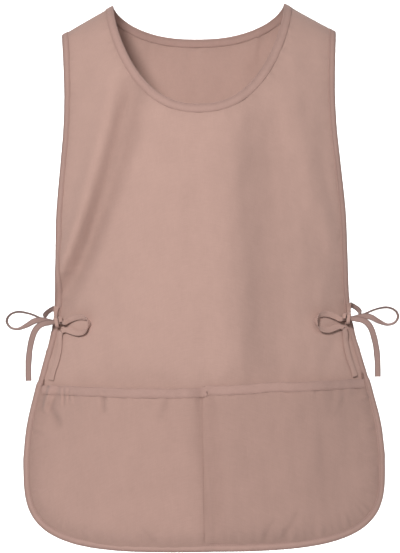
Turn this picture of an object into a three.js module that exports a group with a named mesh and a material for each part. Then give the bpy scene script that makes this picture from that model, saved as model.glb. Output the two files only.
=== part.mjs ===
// Cobbler apron: a front and a back panel of woven cloth that meet at the shoulders, a pocket across
// the lower front that is sewn down along its middle, bound edges, and a bow of two ties at each side.
// It keeps the form that it has when worn, and hangs from the shoulders.
//
// Lengths are millimetres. Z is up, the front faces -Y, and left and right are as seen from the front.
// The origin is halfway between the two points where the shoulder seams meet the neckline.
import * as THREE from "three";

// Sizes of the cloth, cut edge to cut edge, seen from the front
const LENGTH = 719;
const NECK_WIDTH = 231;
const FRONT_NECK_DROP = 139;
const BACK_NECK_DROP = 40;
const SHOULDER_WIDTH = 363;
const SHOULDER_DROP = 37;
const HEM_WIDTH = 476;
const HEM_CORNER_HEIGHT = 118;
const HEM_SQUARENESS = 3.9;
const NECK_ARMS = 0.84;
const NECK_BOWL = 1.38;

// How far the worn apron stands out in front of and behind the shoulder seams
const CHEST_DEPTH = 88;
const CHEST_RUN = 240;
const BACK_DEPTH = 75;
const BACK_RUN = 150;
const FOLD_HEIGHT = 8;
const FOLD_WIDTH = 24;
const SIDE_CURVE = 2.2;

// Cloth, bindings and the space left between sewn layers
const CLOTH = 1.2;
const BINDING_WALL = 1;
const BINDING_WIDTH = 9.5;
const CLEARANCE = 0.3;
const SEAM_GAP = 0.3;

// The pocket
const POCKET_DROP = 505;
const POCKET_SMILE = 4;
const POCKET_GAPE = 12;
const GAPE_CURVE = 1.3;
const BAND_WIDTH = 12;

// The ties
const TIE_WIDTH = 8;
const TIE_THICKNESS = 1.2;
const TIE_DROP = 401;
const KNOT_DROP = 19;
const KNOT_INSET = 4;
const KNOT_LIFT = 12;

// Grid steps. The eases make the steps shorter at the neck points and at the top of the sides.
const SEAM_COLUMNS = 3;
const NECK_COLUMNS = 20;
const NECK_EASE = 0.75;
const ROW_EASE = 1.8;
const FRONT_UPPER_ROWS = 17;
const FRONT_LOWER_ROWS = 5;
const BACK_UPPER_ROWS = 13;
const BACK_LOWER_ROWS = 4;
const TIE_STEPS = 40;

// Side edge from shoulder to hem corner: down as a share of LENGTH, out as a share of half HEM_WIDTH
const SIDE_ROWS = [
  { down: 0.051, out: 0.763 },
  { down: 0.1, out: 0.753 },
  { down: 0.17, out: 0.747 },
  { down: 0.235, out: 0.755 },
  { down: 0.3, out: 0.774 },
  { down: 0.39, out: 0.8 },
  { down: 0.47, out: 0.809 },
  { down: 0.54, out: 0.817 },
  { down: 0.6, out: 0.838 },
  { down: 0.66, out: 0.888 },
  { down: 0.72, out: 0.938 },
  { down: 0.78, out: 0.981 },
  { down: 0.836, out: 1.0 },
];

// Depth of each panel: at its middle as a share of the depth named above, and what is left of that
// at its side edges as a share of it
const FRONT_SECTIONS = [
  { down: 0.05, middle: 1.0, edge: 0.62 },
  { down: 0.12, middle: 1.0, edge: 0.55 },
  { down: 0.22, middle: 1.0, edge: 0.46 },
  { down: 0.35, middle: 1.0, edge: 0.38 },
  { down: 0.46, middle: 0.99, edge: 0.27 },
  { down: 0.56, middle: 0.97, edge: 0.15 },
  { down: 0.66, middle: 0.97, edge: 0.19 },
  { down: 0.8, middle: 0.98, edge: 0.25 },
  { down: 1.0, middle: 0.99, edge: 0.28 },
];
const BACK_SECTIONS = [
  { down: 0.05, middle: 1.0, edge: 0.6 },
  { down: 0.15, middle: 1.0, edge: 0.5 },
  { down: 0.3, middle: 1.0, edge: 0.4 },
  { down: 0.44, middle: 0.98, edge: 0.27 },
  { down: 0.56, middle: 0.93, edge: 0.15 },
  { down: 0.68, middle: 0.95, edge: 0.21 },
  { down: 0.82, middle: 1.0, edge: 0.27 },
  { down: 1.0, middle: 1.02, edge: 0.3 },
];

// Folds: each runs down from one height to another, as shares of LENGTH. Each pair is its value at
// those two ends: across in shares of half HEM_WIDTH, height of FOLD_HEIGHT and width of FOLD_WIDTH.
// Bow bends its line, and a fold that runs off the hem ends below it.
const FRONT_FOLDS = [
  { from: 0.1, to: 0.56, across: [-0.455, -0.79], bow: 1.2, height: [1.0, 0.7], width: [0.8, 0.35] },
  { from: 0.12, to: 0.5, across: [0.5, 0.78], bow: 1.5, height: [0.35, 0.35], width: [1.0, 0.5] },
  { from: 0.16, to: 0.72, across: [0.3, 0.33], bow: 1, height: [-0.3, -0.75], width: [0.9, 1.5] },
  { from: 0.22, to: 0.72, across: [-0.28, -0.38], bow: 1, height: [0.1, 0.4], width: [1.4, 2] },
  { from: 0.52, to: 1.3, across: [0.0, 0.1], bow: 1, height: [-0.2, -0.5], width: [0.6, 0.8] },
];
const BACK_FOLDS = [
  { from: 0.08, to: 0.56, across: [0.4, 0.76], bow: 1.5, height: [0.6, 0.5], width: [1.0, 0.5] },
  { from: 0.08, to: 0.56, across: [-0.42, -0.76], bow: 1.5, height: [0.5, 0.5], width: [1.0, 0.5] },
  { from: 0.3, to: 1.3, across: [0.12, 0.24], bow: 1, height: [-0.3, -0.8], width: [1.0, 1.6] },
  { from: 0.45, to: 1.3, across: [-0.2, -0.37], bow: 1, height: [-0.2, -0.7], width: [1.0, 1.5] },
];

// Routes of the ties from the middle of the knot: out from the middle of the apron, fore towards the
// viewer, up, the way the tape's width faces, and the share of the tape's width that it keeps there.
// Each starts at its panel's edge, goes through the knot, round its loop, back, and ends in its tail.
const BACK_TIE_ROUTE = [
  { out: 10, fore: -37, up: 16.5, wide: [0.4, 0, 0.9], share: 1 },
  { out: 16.5, fore: -28, up: 11.5, wide: [0.75, 0, 0.66], share: 1 },
  { out: 19, fore: -18, up: 6.5, wide: [0.6, 0, 0.8], share: 1 },
  { out: 16.5, fore: -10, up: 2.5, wide: [0.2, 0, 1], share: 1 },
  { out: 12, fore: -4.8, up: 0.5, wide: [0, 0, 1], share: 0.9 },
  { out: 6, fore: -2.8, up: 0, wide: [0, 0, 1], share: 0.75 },
  { out: 0, fore: -2.6, up: 0, wide: [0, 0, 1], share: 0.75 },
  { out: -5.5, fore: -2.6, up: 0, wide: [0, 0, 1], share: 0.75 },
  { out: -7, fore: -1.75, up: 0, wide: [0, 0, 1], share: 0.75 },
  { out: -5.5, fore: -0.9, up: 0, wide: [0, 0, 1], share: 0.75 },
  { out: 0, fore: -0.9, up: 0, wide: [0, 0, 1], share: 0.75 },
  { out: 6, fore: -0.9, up: 0.2, wide: [0, 0, 1], share: 0.75 },
  { out: 13, fore: -1.4, up: 1.5, wide: [0, 0.4, 0.9], share: 0.9 },
  { out: 23, fore: -3, up: 5.4, wide: [0, 1, 0.1], share: 1 },
  { out: 38, fore: -2.4, up: 11.6, wide: [0, 1, 0], share: 1 },
  { out: 54, fore: -0.6, up: 14, wide: [0, 1, 0], share: 1 },
  { out: 64, fore: 1.2, up: 9.6, wide: [0, 1, 0], share: 1 },
  { out: 67.5, fore: 2.4, up: 1.8, wide: [0, 1, 0], share: 1 },
  { out: 63, fore: 3.6, up: -5.8, wide: [0, 1, 0.1], share: 1 },
  { out: 54, fore: 4.4, up: -8.6, wide: [0, 0.9, 0.4], share: 1 },
  { out: 42, fore: 4.8, up: -4.4, wide: [0, 0.6, 0.8], share: 1 },
  { out: 30, fore: 4.6, up: 2, wide: [0, 0.3, 0.95], share: 1 },
  { out: 20, fore: 3.4, up: 2.6, wide: [0, 0, 1], share: 1 },
  { out: 11, fore: 1.5, up: 0.6, wide: [0, 0, 1], share: 0.85 },
  { out: 5.5, fore: 0.8, up: 0, wide: [0, 0, 1], share: 0.75 },
  { out: 0, fore: 0.8, up: 0, wide: [0, 0, 1], share: 0.75 },
  { out: -5.5, fore: 0.8, up: 0, wide: [0, 0, 1], share: 0.75 },
  { out: -7, fore: 1.65, up: 0, wide: [0, 0, 1], share: 0.75 },
  { out: -5.5, fore: 2.5, up: 0, wide: [0, 0, 1], share: 0.75 },
  { out: 0, fore: 2.5, up: 0, wide: [0, 0, 1], share: 0.75 },
  { out: 5.5, fore: 2.9, up: -0.1, wide: [0, 0, 1], share: 0.75 },
  { out: 12, fore: 5, up: -0.8, wide: [0, 0, 1], share: 0.9 },
  { out: 19, fore: 7, up: -2, wide: [0.25, 0, 1], share: 1 },
  { out: 25.5, fore: 7.6, up: -5.5, wide: [0.6, 0, 0.8], share: 1 },
  { out: 30.5, fore: 7, up: -12, wide: [0.85, 0, 0.5], share: 1 },
  { out: 34, fore: 5.5, up: -21, wide: [0.95, 0, 0.3], share: 1 },
  { out: 37, fore: 3, up: -33, wide: [1, 0, 0.2], share: 1 },
  { out: 39, fore: 1, up: -47, wide: [1, 0, 0.1], share: 1 },
  { out: 39.8, fore: 0, up: -62, wide: [1, 0, 0], share: 1 },
  { out: 39.8, fore: -0.6, up: -77.5, wide: [1, 0, 0], share: 1 },
];
const FRONT_TIE_ROUTE = [
  { out: 3.4, fore: -10.5, up: 13, wide: [0.85, -0.5, 0], share: 0.8 },
  { out: 3.2, fore: -5, up: 8.4, wide: [1, -0.2, 0], share: 0.6 },
  { out: 3, fore: 0, up: 6.7, wide: [1, 0, 0], share: 0.6 },
  { out: 2.4, fore: 4.9, up: 4.8, wide: [1, 0, 0], share: 0.6 },
  { out: 1.7, fore: 6.1, up: 0, wide: [1, 0, 0], share: 0.6 },
  { out: 1, fore: 4.9, up: -4.8, wide: [1, 0, 0], share: 0.6 },
  { out: 0.3, fore: 0, up: -6.7, wide: [1, 0, 0], share: 0.6 },
  { out: -0.5, fore: -4.9, up: -4.8, wide: [1, 0, 0], share: 0.6 },
  { out: -1.3, fore: -6, up: 0, wide: [1, 0, 0], share: 0.6 },
  { out: -2, fore: -4.9, up: 4.8, wide: [1, 0, 0], share: 0.6 },
  { out: -2.7, fore: 0, up: 6.7, wide: [1, 0, 0], share: 0.6 },
  { out: -3.4, fore: 5, up: 4.8, wide: [1, 0.1, 0.1], share: 0.6 },
  { out: -5, fore: 7.2, up: 0.6, wide: [0.9, 0.2, 0.5], share: 0.7 },
  { out: -9, fore: 7.6, up: -0.6, wide: [0.3, 0.3, 0.95], share: 0.85 },
  { out: -16, fore: 7.6, up: 3, wide: [0, 0.5, 0.85], share: 1 },
  { out: -26.5, fore: 12, up: 6.4, wide: [0, 0.75, 0.65], share: 1 },
  { out: -36, fore: 18.5, up: 6, wide: [0, 0.8, 0.6], share: 1 },
  { out: -42, fore: 23, up: 1, wide: [0.1, 1, 0], share: 1 },
  { out: -42, fore: 23.5, up: -6, wide: [0.1, 1, 0], share: 1 },
  { out: -36.5, fore: 20, up: -12.4, wide: [0, 0.9, -0.4], share: 1 },
  { out: -26.5, fore: 13.5, up: -14.6, wide: [0, 0.7, -0.7], share: 1 },
  { out: -17, fore: 6.8, up: -12, wide: [0, 0.4, -0.9], share: 1 },
  { out: -9.6, fore: 2.4, up: -10.6, wide: [0.1, 0.1, -1], share: 0.85 },
  { out: -4.4, fore: -0.4, up: -13, wide: [0.7, -0.45, -0.6], share: 0.8 },
  { out: -2.2, fore: -2.4, up: -20, wide: [0.82, -0.57, -0.2], share: 1 },
  { out: -2, fore: -1.7, up: -30, wide: [0.82, -0.57, 0], share: 1 },
  { out: -0.2, fore: 0.1, up: -42, wide: [0.82, -0.57, 0.1], share: 1 },
  { out: 3, fore: 0.8, up: -54, wide: [0.82, -0.57, 0.1], share: 1 },
  { out: 7, fore: 0.8, up: -66, wide: [0.82, -0.57, 0.2], share: 1 },
  { out: 9.8, fore: 1.3, up: -77, wide: [0.82, -0.57, 0.1], share: 1 },
];

const CLOTH_COLOUR = 0xbe9c90;
const BINDING_COLOUR = 0xb29188;
const TIE_COLOUR = 0xac8d86;

const halfHem = HEM_WIDTH / 2;
const halfNeck = NECK_WIDTH / 2;
const halfShoulder = SHOULDER_WIDTH / 2;
const shoulderShare = SHOULDER_DROP / LENGTH;
const cornerShare = 1 - HEM_CORNER_HEIGHT / LENGTH;
const bindingInset = BINDING_WIDTH - BINDING_WALL - CLEARANCE;
const bandInset = BAND_WIDTH - BINDING_WALL - CLEARANCE;

const mix = (a, b, t) => a + (b - a) * t;
const clamp = THREE.MathUtils.clamp;

// Smooth curve through one column of a table, by cubic pieces whose slopes follow their neighbours
function along(rows, column, down) {
  const at = clamp(down, rows[0].down, rows[rows.length - 1].down);
  let k = 0;
  while (k < rows.length - 2 && at > rows[k + 1].down) k += 1;
  const slope = (n) => {
    const before = rows[Math.max(n - 1, 0)];
    const after = rows[Math.min(n + 1, rows.length - 1)];
    return (after[column] - before[column]) / (after.down - before.down);
  };
  const step = rows[k + 1].down - rows[k].down;
  const t = (at - rows[k].down) / step;
  const rise = slope(k) * step;
  const fall = slope(k + 1) * step;
  const change = rows[k + 1][column] - rows[k][column];
  return rows[k][column] + t * (rise + t * (3 * change - 2 * rise - fall + t * (rise + fall - 2 * change)));
}

// Half the apron's width at a height. Below the hem corners it stays at its widest.
const halfWidth = (down) => halfHem * along(SIDE_ROWS, "out", down);

// Height of the line of the shoulder seams, carried on over the neck as a smooth arch
const archRound = NECK_WIDTH / 4;
const arch = (x) => Math.hypot(x, archRound);
const seamHeight = (x) => {
  const rise = arch(x) - arch(halfNeck);
  return (-SHOULDER_DROP * rise) / (arch(halfShoulder) - arch(halfNeck));
};

// One panel as a surface: x across and the square root of the way down from the seam line. Its edges
// run from left to right as seen when facing that panel.
class Panel {
  constructor({ facing, depth, run, sections, folds, neckDrop }) {
    Object.assign(this, { facing, depth, run, sections, folds, neckDrop });
    this.across = -facing;
  }

  // Height of the folds at a place on the cloth
  foldAt(x, down) {
    let height = 0;
    for (const fold of this.folds) {
      const t = (down - fold.from) / (fold.to - fold.from);
      if (t <= 0 || t >= 1) continue;
      const middle = halfHem * mix(...fold.across, t ** fold.bow);
      const width = FOLD_WIDTH * mix(...fold.width, t);
      const fade = Math.min(1, 4 * t, 4 * (1 - t));
      const smooth = fade * fade * (3 - 2 * fade);
      height += smooth * mix(...fold.height, t) * Math.exp(-(((x - middle) / width) ** 2));
    }
    return FOLD_HEIGHT * height;
  }

  // The outer face of the cloth at one place
  point({ x, root }) {
    const fall = root * root;
    const z = seamHeight(x) - fall;
    const down = Math.max(0, -z / LENGTH);
    const turn = 1 - Math.min(fall / this.run, 1);
    const dome = Math.sqrt(1 - turn * turn);
    const side = Math.abs(x) / halfWidth(down);
    const left = 1 - (1 - along(this.sections, "edge", down)) * side ** SIDE_CURVE;
    const out = this.depth * along(this.sections, "middle", down) * left * dome + this.foldAt(x, down);
    return new THREE.Vector3(x, this.facing * (out + SEAM_GAP / 2), z);
  }

  // Directions across and down the cloth, and out of it
  frame(place) {
    const dx = 0.05;
    const root = Math.max(place.root, dx);
    const across = this.point({ x: place.x + dx, root }).sub(this.point({ x: place.x - dx, root }));
    const below = this.point({ x: place.x, root: root + dx });
    const down = below.sub(this.point({ x: place.x, root: root - dx }));
    across.divideScalar(2 * dx);
    down.divideScalar(2 * dx);
    const out = new THREE.Vector3().crossVectors(down, across).multiplyScalar(-this.facing).normalize();
    return { across, down, out };
  }

  // The place that lies a way along a direction on the cloth
  move(place, direction, way) {
    const { across, down } = this.frame(place);
    const aa = across.dot(across);
    const ad = across.dot(down);
    const dd = down.dot(down);
    const a = across.dot(direction) * way;
    const d = down.dot(direction) * way;
    const whole = aa * dd - ad * ad;
    return {
      x: place.x + (a * dd - d * ad) / whole,
      root: Math.max(0, place.root + (d * aa - a * ad) / whole),
    };
  }

  // Each place of an edge moved square to it, to the side that is up where the edge runs across
  inset(edge, way) {
    return edge.map((place, k) => {
      const before = this.point(edge[Math.max(k - 1, 0)]);
      const after = this.point(edge[Math.min(k + 1, edge.length - 1)]);
      const square = new THREE.Vector3().crossVectors(this.frame(place).out, after.sub(before)).normalize();
      return this.move(place, square, way);
    });
  }
}

const placeAt = (x, z) => ({ x, root: Math.sqrt(Math.max(0, seamHeight(x) - z)) });

// Places along an edge that a function gives from 0 to 1, at even steps or with shorter ones at its ends
function spread(panel, edge, steps, ease = 0) {
  const fine = 400;
  const length = [0];
  let last = panel.point(edge(0));
  for (let k = 1; k <= fine; k += 1) {
    const next = panel.point(edge(k / fine));
    length.push(length[k - 1] + next.distanceTo(last));
    last = next;
  }
  const places = [];
  let k = 0;
  for (let step = 0; step <= steps; step += 1) {
    const even = step / steps;
    const wanted = length[fine] * mix(even, THREE.MathUtils.smoothstep(even, 0, 1), ease);
    while (k < fine - 1 && length[k + 1] < wanted) k += 1;
    const t = (wanted - length[k]) / (length[k + 1] - length[k]);
    places.push(edge((k + t) / fine));
  }
  return places;
}

// Neckline from side to side: a U whose arms straighten towards the shoulders
function necklinePlace(panel, share) {
  const turn = Math.PI * (1 - share);
  const x = panel.across * halfNeck * Math.sign(Math.cos(turn)) * Math.abs(Math.cos(turn)) ** NECK_ARMS;
  const z = -panel.neckDrop * Math.sin(turn) ** NECK_BOWL;
  if (share === 0 || share === 1) return { x: panel.across * halfNeck * Math.sign(share - 0.5), root: 0 };
  return placeAt(x, z);
}

// Hem from side to side: a flat arc that rounds up into the sides
function hemPlace(panel, share) {
  const turn = Math.PI * (1 - share);
  const cosine = Math.cos(turn);
  const reach = Math.abs(cosine) ** (2 / HEM_SQUARENESS);
  const x = panel.across * halfHem * Math.sign(cosine) * reach;
  const z = -LENGTH * cornerShare - HEM_CORNER_HEIGHT * Math.sin(turn) ** (2 / HEM_SQUARENESS);
  if (share === 0 || share === 1) {
    return placeAt(panel.across * halfHem * Math.sign(share - 0.5), -LENGTH * cornerShare);
  }
  return placeAt(x, z);
}

const mouthHeight = (x) => -POCKET_DROP - POCKET_SMILE * (1 - (x / halfHem) ** 2);

// The grid of places that a panel's cloth is cut on, with a border as wide as the bindings
function cutPanel(panel, upperRows, lowerRows) {
  const columns = 2 * SEAM_COLUMNS + NECK_COLUMNS;
  const neck = spread(panel, (t) => necklinePlace(panel, t), NECK_COLUMNS, NECK_EASE);
  const hem = spread(panel, (t) => hemPlace(panel, t), columns);
  const mouthShare = -mouthHeight(halfHem) / LENGTH;
  const bandShare = mouthShare + bandInset / LENGTH;
  const upper = (k) => mix(shoulderShare, mouthShare, (k / upperRows) ** ROW_EASE);
  const lower = (k) => mix(bandShare, cornerShare, k / lowerRows);
  const downs = [];
  for (let k = 0; k <= upperRows; k += 1) downs.push(upper(k));
  for (let k = 0; k <= lowerRows; k += 1) downs.push(lower(k));
  const side = (hand) => downs.map((down, k) => {
    if (k === 0) return { x: hand * halfShoulder, root: 0 };
    return placeAt(hand * halfWidth(down), -down * LENGTH);
  });
  const left = side(-panel.across);
  const right = side(panel.across);
  left[left.length - 1] = hem[0];
  right[right.length - 1] = hem[columns];

  // the edges moved in by the width of the bindings
  const rim = [...left, ...hem.slice(1, columns), ...[...right].reverse()];
  const rimIn = panel.inset(rim, bindingInset);
  rimIn[0] = { x: rimIn[0].x, root: 0 };
  rimIn[rimIn.length - 1] = { x: rimIn[rimIn.length - 1].x, root: 0 };
  const neckIn = panel.inset(neck, -bindingInset);
  neckIn[0].root = 0;
  neckIn[NECK_COLUMNS].root = 0;

  const rows = downs.length - 1;
  const leftIn = rimIn.slice(0, rows + 1);
  const hemIn = rimIn.slice(rows, rows + columns + 1);
  const rightIn = rimIn.slice(rows + columns).reverse();
  const top = [];
  for (let i = 0; i <= columns; i += 1) {
    if (i < SEAM_COLUMNS) {
      top.push({ x: mix(leftIn[0].x, neckIn[0].x, i / SEAM_COLUMNS), root: 0 });
    } else if (i > columns - SEAM_COLUMNS) {
      const t = (columns - i) / SEAM_COLUMNS;
      top.push({ x: mix(rightIn[0].x, neckIn[NECK_COLUMNS].x, t), root: 0 });
    } else {
      top.push(neckIn[i - SEAM_COLUMNS]);
    }
  }
  const fall = (place) => place.root * place.root;
  const mouthX = (i) => {
    const like = mix(top[i].x / Math.abs(top[0].x), hemIn[i].x / Math.abs(hemIn[0].x), 0.5);
    return like * Math.abs(leftIn[upperRows].x);
  };
  const grid = [];
  for (let j = 0; j <= rows; j += 1) {
    const row = [];
    for (let i = 0; i <= columns; i += 1) {
      if (j === 0) row.push(top[i]);
      else if (i === 0) row.push(leftIn[j]);
      else if (i === columns) row.push(rightIn[j]);
      else if (j === rows) row.push(hemIn[i]);
      else {
        const x = mouthX(i);
        const mouthFall = seamHeight(x) - mouthHeight(x);
        if (j <= upperRows) {
          const t = (downs[j] - shoulderShare) / (mouthShare - shoulderShare);
          const width = Math.abs(leftIn[j].x) / mix(Math.abs(top[0].x), Math.abs(leftIn[upperRows].x), t);
          row.push({
            x: mix(top[i].x, x, t) * width,
            root: Math.sqrt(mix(fall(top[i]), mouthFall, t)),
          });
        } else {
          const t = (j - upperRows - 1) / lowerRows;
          const bandX = (x * leftIn[upperRows + 1].x) / leftIn[upperRows].x;
          const bandFall = seamHeight(bandX) - mouthHeight(x) + bandInset;
          const width = leftIn[j].x / mix(leftIn[upperRows + 1].x, hemIn[0].x, t);
          row.push({
            x: mix(bandX, hemIn[i].x, t) * width,
            root: Math.sqrt(mix(bandFall, fall(hemIn[i]), t)),
          });
        }
      }
    }
    grid.push(row);
  }
  return { grid, neck, neckIn, rim, rimIn, rows, columns, mouthRow: upperRows };
}

// A closed solid from points, and faces of three or four corners each
function solid(points, faces) {
  const index = [];
  for (const face of faces) {
    for (let k = 2; k < face.length; k += 1) index.push(face[0], face[k - 1], face[k]);
  }
  const geometry = new THREE.BufferGeometry().setFromPoints(points);
  let volume = 0;
  for (let k = 0; k < index.length; k += 3) {
    const [a, b, c] = [points[index[k]], points[index[k + 1]], points[index[k + 2]]];
    volume += a.dot(new THREE.Vector3().crossVectors(b, c));
  }
  if (volume < 0) index.reverse();
  geometry.setIndex(index);
  return geometry;
}

// Cloth: patches of places on a panel as the outer face, the same face one cloth deeper, and the
// narrow wall that joins them along every open edge
function cloth(panel, patches, lift) {
  const points = [];
  const inner = [];
  const known = new Map();
  const vertex = (place) => {
    if (!known.has(place)) {
      known.set(place, points.length);
      const base = panel.point(place);
      const { out } = panel.frame(place);
      const away = lift(place);
      points.push(base.clone().addScaledVector(out, away));
      inner.push(base.clone().addScaledVector(out, away - CLOTH));
    }
    return known.get(place);
  };
  const faces = [];
  for (const patch of patches) {
    for (let j = 1; j < patch.length; j += 1) {
      for (let i = 1; i < patch[j].length; i += 1) {
        const corners = [patch[j - 1][i - 1], patch[j - 1][i], patch[j][i], patch[j][i - 1]].map(vertex);
        faces.push([corners[0], corners[1], corners[2]], [corners[0], corners[2], corners[3]]);
      }
    }
  }
  const count = points.length;
  const open = new Map();
  for (const face of faces) {
    face.forEach((a, k) => {
      const b = face[(k + 1) % face.length];
      if (!open.delete(`${b} ${a}`)) open.set(`${a} ${b}`, [a, b]);
    });
  }
  const back = faces.map((face) => face.map((k) => k + count).reverse());
  const walls = [...open.values()].map(([a, b]) => [b, a, a + count, b + count]);
  return solid([...points, ...inner], [...faces, ...back, ...walls]);
}

// A binding folded over an edge: a U of cloth, its mouth towards the inner line
function binding(stations, wall, closed) {
  const points = [];
  const faces = [];
  for (const { edge, inner, edgeOut, innerOut, under } of stations) {
    const away = edge.clone().sub(inner).normalize();
    const outside = CLEARANCE + wall;
    const place = (from, out, side, across) => {
      return from.clone().addScaledVector(out, side).addScaledVector(away, across);
    };
    points.push(
      place(inner, innerOut, outside, CLEARANCE),
      place(edge, edgeOut, outside, outside),
      place(edge, edgeOut, -under - outside, outside),
      place(inner, innerOut, -under - outside, CLEARANCE),
      place(inner, innerOut, -under - CLEARANCE, CLEARANCE),
      place(edge, edgeOut, -under - CLEARANCE, CLEARANCE),
      place(edge, edgeOut, CLEARANCE, CLEARANCE),
      place(inner, innerOut, CLEARANCE, CLEARANCE),
    );
  }
  const ring = 8;
  const last = stations.length - (closed ? 0 : 1);
  for (let k = 0; k < last; k += 1) {
    const here = k * ring;
    const next = ((k + 1) % stations.length) * ring;
    for (let n = 0; n < ring; n += 1) {
      const m = (n + 1) % ring;
      if (n % 4 === 0) faces.push([here + n, here + m, next + n], [here + m, next + m, next + n]);
      else faces.push([here + n, here + m, next + m], [here + n, next + m, next + n]);
    }
  }
  if (!closed) {
    const end = (stations.length - 1) * ring;
    for (const [a, b, c, d] of [[0, 1, 6, 7], [1, 2, 5, 6], [2, 3, 4, 5]]) {
      faces.push([d, c, b, a], [end + a, end + b, end + c, end + d]);
    }
  }
  return solid(points, faces);
}

function bindingStations(panel, edge, inner) {
  return edge.map((place, k) => ({
    edge: panel.point(place),
    inner: panel.point(inner[k]),
    edgeOut: panel.frame(place).out,
    innerOut: panel.frame(inner[k]).out,
    under: CLOTH,
  }));
}

const front = new Panel({
  facing: -1,
  depth: CHEST_DEPTH,
  run: CHEST_RUN,
  sections: FRONT_SECTIONS,
  folds: FRONT_FOLDS,
  neckDrop: FRONT_NECK_DROP,
});
const back = new Panel({
  facing: 1,
  depth: BACK_DEPTH,
  run: BACK_RUN,
  sections: BACK_SECTIONS,
  folds: BACK_FOLDS,
  neckDrop: BACK_NECK_DROP,
});
const frontCut = cutPanel(front, FRONT_UPPER_ROWS, FRONT_LOWER_ROWS);
const backCut = cutPanel(back, BACK_UPPER_ROWS, BACK_LOWER_ROWS);

function panelCloth(panel, cut) {
  const neckRow = cut.grid[0].slice(SEAM_COLUMNS, SEAM_COLUMNS + NECK_COLUMNS + 1);
  const { rows, columns } = cut;
  const inner = [
    ...cut.grid.map((row) => row[0]),
    ...cut.grid[rows].slice(1, columns),
    ...cut.grid.map((row) => row[columns]).reverse(),
  ];
  return cloth(panel, [cut.grid, [cut.neck, neckRow], [[...cut.rim].reverse(), inner.reverse()]], () => 0);
}

// The binding round the neck: along the front neckline, then home along the back one
function neckBinding() {
  const ahead = bindingStations(front, frontCut.neck, frontCut.neckIn);
  const behind = bindingStations(back, backCut.neck, backCut.neckIn);
  return binding([...ahead, ...behind], BINDING_WALL, true);
}

// The binding of a panel's sides and hem
function edgeBinding(panel, cut) {
  return binding(bindingStations(panel, cut.rim, cut.rimIn).reverse(), BINDING_WALL, false);
}

// The pocket lies on the front panel, stands off a little for its band and gapes between its seams
function pocketLift(place) {
  const z = seamHeight(place.x) - place.root * place.root;
  const depth = (mouthHeight(place.x) - z) / (LENGTH - POCKET_DROP);
  const shut = clamp(1 - depth, 0, 1) ** 2;
  const half = Math.abs(frontCut.grid[frontCut.mouthRow][0].x);
  const gape = Math.sin(Math.PI * clamp(Math.abs(place.x) / half, 0, 1)) ** GAPE_CURVE;
  return CLOTH + CLEARANCE + (BINDING_WALL + CLEARANCE + POCKET_GAPE * gape) * shut;
}

function pocketRows() {
  const { grid, rim, mouthRow, rows, columns } = frontCut;
  const seam = front.inset(rim, bindingInset + CLEARANCE);
  const leftSeam = seam.slice(0, rows + 1);
  const hemSeam = seam.slice(rows, rows + columns + 1);
  const rightSeam = seam.slice(rows + columns).reverse();
  const pocket = [];
  for (let j = mouthRow; j <= rows; j += 1) {
    pocket.push(grid[j].map((place, i) => {
      if (i === 0) return leftSeam[j];
      if (i === columns) return rightSeam[j];
      return j === rows ? hemSeam[i] : place;
    }));
  }
  return pocket;
}

function bandStations(pocket) {
  return pocket[0].map((place, i) => {
    const below = pocket[1][i];
    const out = front.frame(place).out;
    const belowOut = front.frame(below).out;
    return {
      edge: front.point(place).addScaledVector(out, pocketLift(place)),
      inner: front.point(below).addScaledVector(belowOut, pocketLift(below)),
      edgeOut: out,
      innerOut: belowOut,
      under: CLOTH,
    };
  });
}

// A tie: a flat tape with eased corners, swept through the points of its route
function tape(points, widths, shares) {
  const curve = new THREE.CatmullRomCurve3(points, false, "centripetal");
  curve.arcLengthDivisions = 12 * points.length;
  const half = TIE_WIDTH / 2;
  const thick = TIE_THICKNESS / 2;
  const ease = 0.35;
  const section = [
    [half, -ease * thick], [half, ease * thick], [half - thick, thick], [-half + thick, thick],
    [-half, ease * thick], [-half, -ease * thick], [-half + thick, -thick], [half - thick, -thick],
  ];
  const rings = [];
  for (let step = 0; step <= TIE_STEPS; step += 1) {
    const t = curve.getUtoTmapping(step / TIE_STEPS);
    const at = curve.getPoint(t);
    const ahead = curve.getTangent(t);
    const k = Math.min(Math.floor(t * (points.length - 1)), points.length - 2);
    const part = t * (points.length - 1) - k;
    const wide = widths[k].clone().lerp(widths[k + 1], part);
    wide.addScaledVector(ahead, -wide.dot(ahead)).normalize();
    const flat = new THREE.Vector3().crossVectors(ahead, wide);
    const share = mix(shares[k], shares[k + 1], part);
    const corner = ([a, b]) => at.clone().addScaledVector(wide, a * share).addScaledVector(flat, b);
    rings.push(section.map(corner));
  }
  const faces = [];
  const ring = section.length;
  for (let k = 1; k < rings.length; k += 1) {
    for (let n = 0; n < ring; n += 1) {
      const m = (n + 1) % ring;
      const here = (k - 1) * ring;
      const next = k * ring;
      faces.push([here + n, here + m, next + m], [here + n, next + m, next + n]);
    }
  }
  const first = section.map((_, n) => ring - 1 - n);
  const last = section.map((_, n) => (rings.length - 1) * ring + n);
  faces.push(first, last);
  return solid(rings.flat(), faces);
}

// A tie leaves its panel from the binding of the side edge: the front one from its face, with its
// width across, and the back one from its fold, with its width up
function tieStart(panel, hand) {
  const edge = placeAt(hand * halfWidth(TIE_DROP / LENGTH), -TIE_DROP);
  const { across, out } = panel.frame(edge);
  const outward = across.normalize().multiplyScalar(hand);
  const off = BINDING_WALL + CLEARANCE + 2 * TIE_THICKNESS;
  const start = panel.point(edge);
  if (panel === front) {
    start.addScaledVector(outward, -TIE_WIDTH / 2).addScaledVector(out, off);
    return { start, wide: outward };
  }
  return { start: start.addScaledVector(outward, off), wide: new THREE.Vector3(0, 0, 1) };
}

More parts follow.
